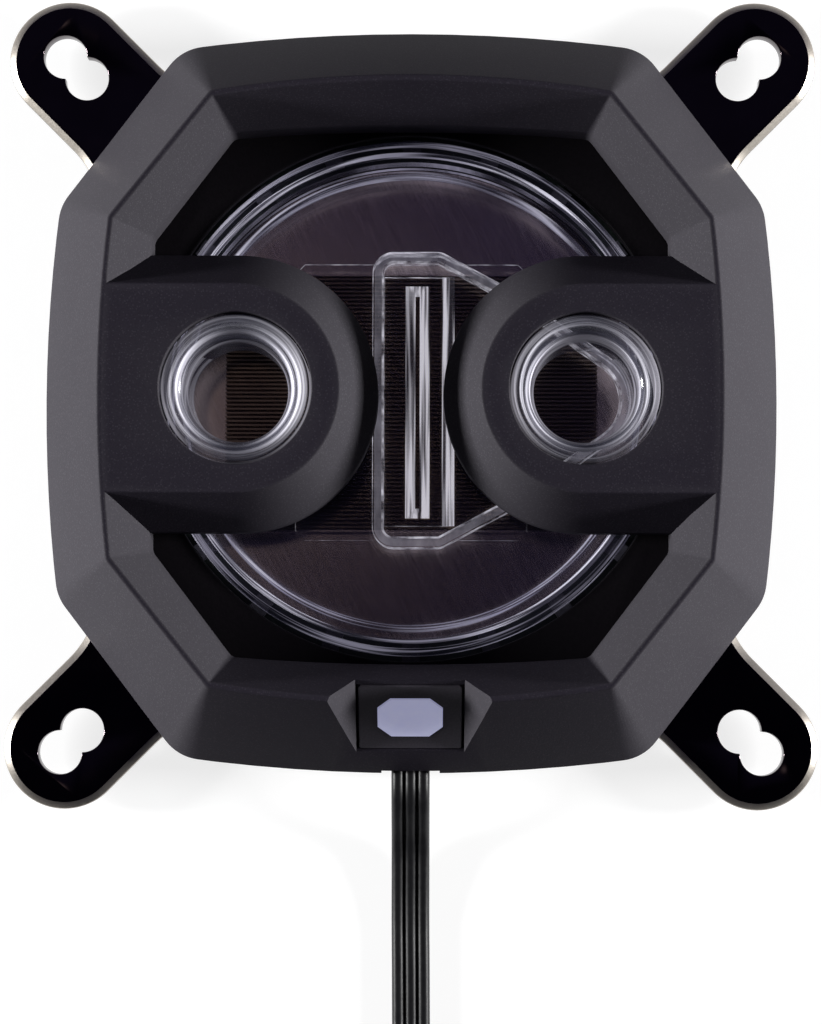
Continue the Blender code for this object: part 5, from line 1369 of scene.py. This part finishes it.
def make_plug():
    """Three-way plug with windows over its contacts and a mouth for each one."""
    length, width, height = PLUG_SIZE
    low, high = (-length / 2, -width / 2, 0.0), (length / 2, width / 2, height)
    plug = block("ribbon_plug", low, high, PLUG_PLASTIC, 0.35 * MM)
    for i, y in enumerate((-PLUG_PITCH, 0.0, PLUG_PITCH), 1):
        low = (-1.0 * MM, y - PLUG_WINDOW_HALF, height - 0.8 * MM)
        high = (3.0 * MM, y + PLUG_WINDOW_HALF, height + OVERCUT)
        cut(plug, block(f"plug_window_{i}", low, high))
        low = (length / 2 - PLUG_MOUTH_DEPTH, y - PLUG_MOUTH_HALF, height / 2 - PLUG_MOUTH_HALF)
        high = (length / 2 + OVERCUT, y + PLUG_MOUTH_HALF, height / 2 + PLUG_MOUTH_HALF)
        cut(plug, block(f"plug_mouth_{i}", low, high))
    heading = math.radians(-TAIL_END_ANGLE - 90)
    middle = (PLUG_LOW + PLUG_HIGH) / 2
    place = Matrix.Translation((middle.x, middle.y, 0.0)) @ Matrix.Rotation(heading, 4, "Z")
    plug.data.transform(place)
    return dress(plug, "plug_plastic", "cable_plug")


def make_tie():
    """A strap round the coil's turns with its lock on top."""
    middle_radius = COIL_START_RADIUS - COIL_PITCH * COIL_TURNS / 2
    half = COIL_PITCH * (COIL_TURNS - 1) / 2 + WIRE_RADIUS + 0.1 * MM
    low, high = COIL_LOW.z - 0.2 * MM, COIL_HIGH.z + 0.2 * MM
    x, y = COIL_CENTRE.x - middle_radius, COIL_CENTRE.y
    inner = rounded_rectangle(half, (high - low) / 2, 0.35 * MM)
    strap = offset_outline(inner, TIE_THICKNESS)
    place = Matrix.Translation((x, y, (low + high) / 2)) @ Matrix.Rotation(math.pi / 2, 4, "X")
    tie = prism("ribbon_tie", [strap, inner], -TIE_WIDTH / 2, TIE_WIDTH / 2, PLUG_PLASTIC, place)
    length, width, height = TIE_HEAD
    head_low = (x - length / 2, y - width / 2, high + TIE_THICKNESS / 2)
    head_high = (x + length / 2, y + width / 2, high + height)
    join(tie, block("tie_head", head_low, head_high, PLUG_PLASTIC, 0.3 * MM))
    slot_low = (x - length, y - TIE_WIDTH / 2 + 0.2 * MM, high + 1.1 * MM)
    slot_high = (x + length, y + TIE_WIDTH / 2 - 0.2 * MM, high + 1.7 * MM)
    cut(tie, block("tie_slot", slot_low, slot_high))
    return dress(tie, "plug_plastic", "cable_tie")


def make_grommet():
    """Rubber strain relief in the cover's lower edge."""
    edge = 0.25 * MM
    low = (-GROMMET_HALF_WIDTH, GROMMET_LOW.y, GROMMET_LOW.z)
    high = (GROMMET_HALF_WIDTH, GROMMET_HIGH.y, GROMMET_HIGH.z)
    grommet = block("ribbon_grommet", low, high, SEAL_RUBBER, edge)
    low = (GROMMET_LOW.x, GROMMET_HIGH.y - GROMMET_FLANGE, GROMMET_LOW.z + edge)
    high = (GROMMET_HIGH.x, GROMMET_HIGH.y - edge, SKIRT_TOP)
    join(grommet, block("grommet_flange", low, high, SEAL_RUBBER))
    half_z = WIRE_RADIUS + GAP
    inner = RIBBON_HALF + GAP - half_z
    hole = arc((inner, 0), half_z, -90, 90, 12) + arc((-inner, 0), half_z, 90, 270, 12)
    place = Matrix.Translation((0.0, COVER_LOW.y, EXIT_HEIGHT)) @ Matrix.Rotation(math.pi / 2, 4, "X")
    cut(grommet, prism("grommet_hole", [hole], -5 * MM, 5 * MM, matrix=place))
    return dress(grommet, "seal_rubber", "cable_grommet")


def make_socket():
    socket = block("ribbon_socket", SOCKET_LOW, SOCKET_HIGH, PLUG_PLASTIC, 0.25 * MM)
    return dress(socket, "plug_plastic", "board_socket")


def finish_nodes():
    """Materials on the frame's own nodes that stay in view."""
    looks = {"cold_plate": NICKEL_PLATE, "cold_plate_seal": SEAL_RUBBER, "light_board": BOARD_LAMINATE}
    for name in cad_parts:
        if name.startswith("light_") and name != "light_board":
            looks[name] = LIGHT_BODY
    for name, material in looks.items():
        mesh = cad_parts[name].data
        mesh.materials.clear()
        mesh.materials.append(material)


def make_cord():
    """The free ribbon with what is on it."""
    ribbon, path = make_ribbon()
    with_pieces = [make_plug(), make_tie(), make_grommet()]


def make_camera():
    """The photograph's view: nearly straight down, from the cable's side."""
    camera = bpy.data.objects.new("camera", bpy.data.cameras.new("camera"))
    bpy.context.scene.collection.objects.link(camera)
    camera.data.sensor_width = CAMERA_SENSOR
    camera.data.lens = CAMERA_LENS
    camera.data.clip_start = 0.01
    camera.data.clip_end = 10.0
    turns = [Matrix.Rotation(math.radians(angle), 3, axis) for angle, axis in CAMERA_TURNS]
    to_camera = turns[0] @ turns[1] @ turns[2]
    camera.matrix_world = Matrix.Translation(CAMERA_PLACE) @ to_camera.transposed().to_4x4()
    bpy.context.scene.camera = camera


def make_softboxes():
    """A softbox at each side, low over the table and aimed at the block."""
    for label, side in (("left", -1), ("right", 1)):
        data = bpy.data.lights.new(f"{label}_softbox", "AREA")
        data.shape = "RECTANGLE"
        data.size, data.size_y = SOFTBOX_SIZE
        data.energy = SOFTBOX_RADIANCE * math.pi * data.size * data.size_y
        lamp = bpy.data.objects.new(data.name, data)
        lamp.location = (side * SOFTBOX_PLACE[0], SOFTBOX_PLACE[1], SOFTBOX_PLACE[2])
        lamp.rotation_euler = (-lamp.location).to_track_quat("-Z", "Y").to_euler()
        lamp.visible_camera = False
        bpy.context.scene.collection.objects.link(lamp)


def shown_background(nodes):
    """One where the background shows: to the camera, in gloss and through glass."""
    kinds = ("Is Camera Ray", "Is Glossy Ray", "Is Transmission Ray")
    rays = [nodes.node("LightPath", output=kind) for kind in kinds]
    return rays[0].at_least(rays[1]).at_least(rays[2])


def make_floor():
    """Pale floor that keeps the block's shadow and reads as white round it."""
    finish = Finish("pale_floor", roughness=1.0, specular_IOR_level=0.0, emission_color=(1.0, 1.0, 1.0))
    grain = finish.noise(3.0 * MM, 2.0)
    finish.surface(Base_color=finish.mix(grain, (0.29, 0.29, 0.29), (0.31, 0.31, 0.31)))
    finish.surface(Emission_strength=shown_background(finish) * FLOOR_GLOW)
    form = bmesh.new()
    bmesh.ops.create_grid(form, x_segments=1, y_segments=1, size=FLOOR_HALF)
    floor = add_piece("floor", mesh_of("floor", form), finish.material)
    floor.location.z = -FLOOR_DROP


def make_world():
    """White round the horizon and to the camera. Gloss meets a dim sky with a small pale card."""
    world = bpy.data.worlds.new("studio")
    bpy.context.scene.world = world
    world.use_nodes = True
    sky = Nodes(world.node_tree)
    across, behind, height = sky.axes(sky.node("TexCoord", output="Generated"))
    low = (height < HORIZON) * shown_background(sky)
    camera = sky.node("LightPath", output="Is Camera Ray")
    strip = ((behind - STRIP_START) * STRIP_RISE).limited()
    gloss = sky.mix(strip, (0.006, 0.005, 0.016), (0.029, 0.024, 0.058))
    beside, beyond = across - CARD_PLACE[0], behind - CARD_PLACE[1]
    from_card = (beside * beside + beyond * beyond) ** 0.5
    card = ((CARD_REACH - from_card) * CARD_EDGE).limited() * (height > 0.0)
    gloss = sky.mix(card, gloss, (0.56, 0.46, 0.43))
    overhead = sky.mix(shown_background(sky), (0.05, 0.05, 0.055), gloss)
    background = sky.tree.nodes["Background"]
    sky.feed(background.inputs["Color"], sky.mix(camera.at_least(low), overhead, (1.0, 1.0, 1.0)))
    background.inputs["Strength"].default_value = 1.0


make_camera()
make_cord()
make_shroud()
make_badge()
make_bracket()
make_chamber()
make_guide()
make_deck()
make_screws()
make_socket()
finish_nodes()
make_softboxes()
make_floor()
make_world()
bpy.context.scene.view_settings.view_transform = "Standard"
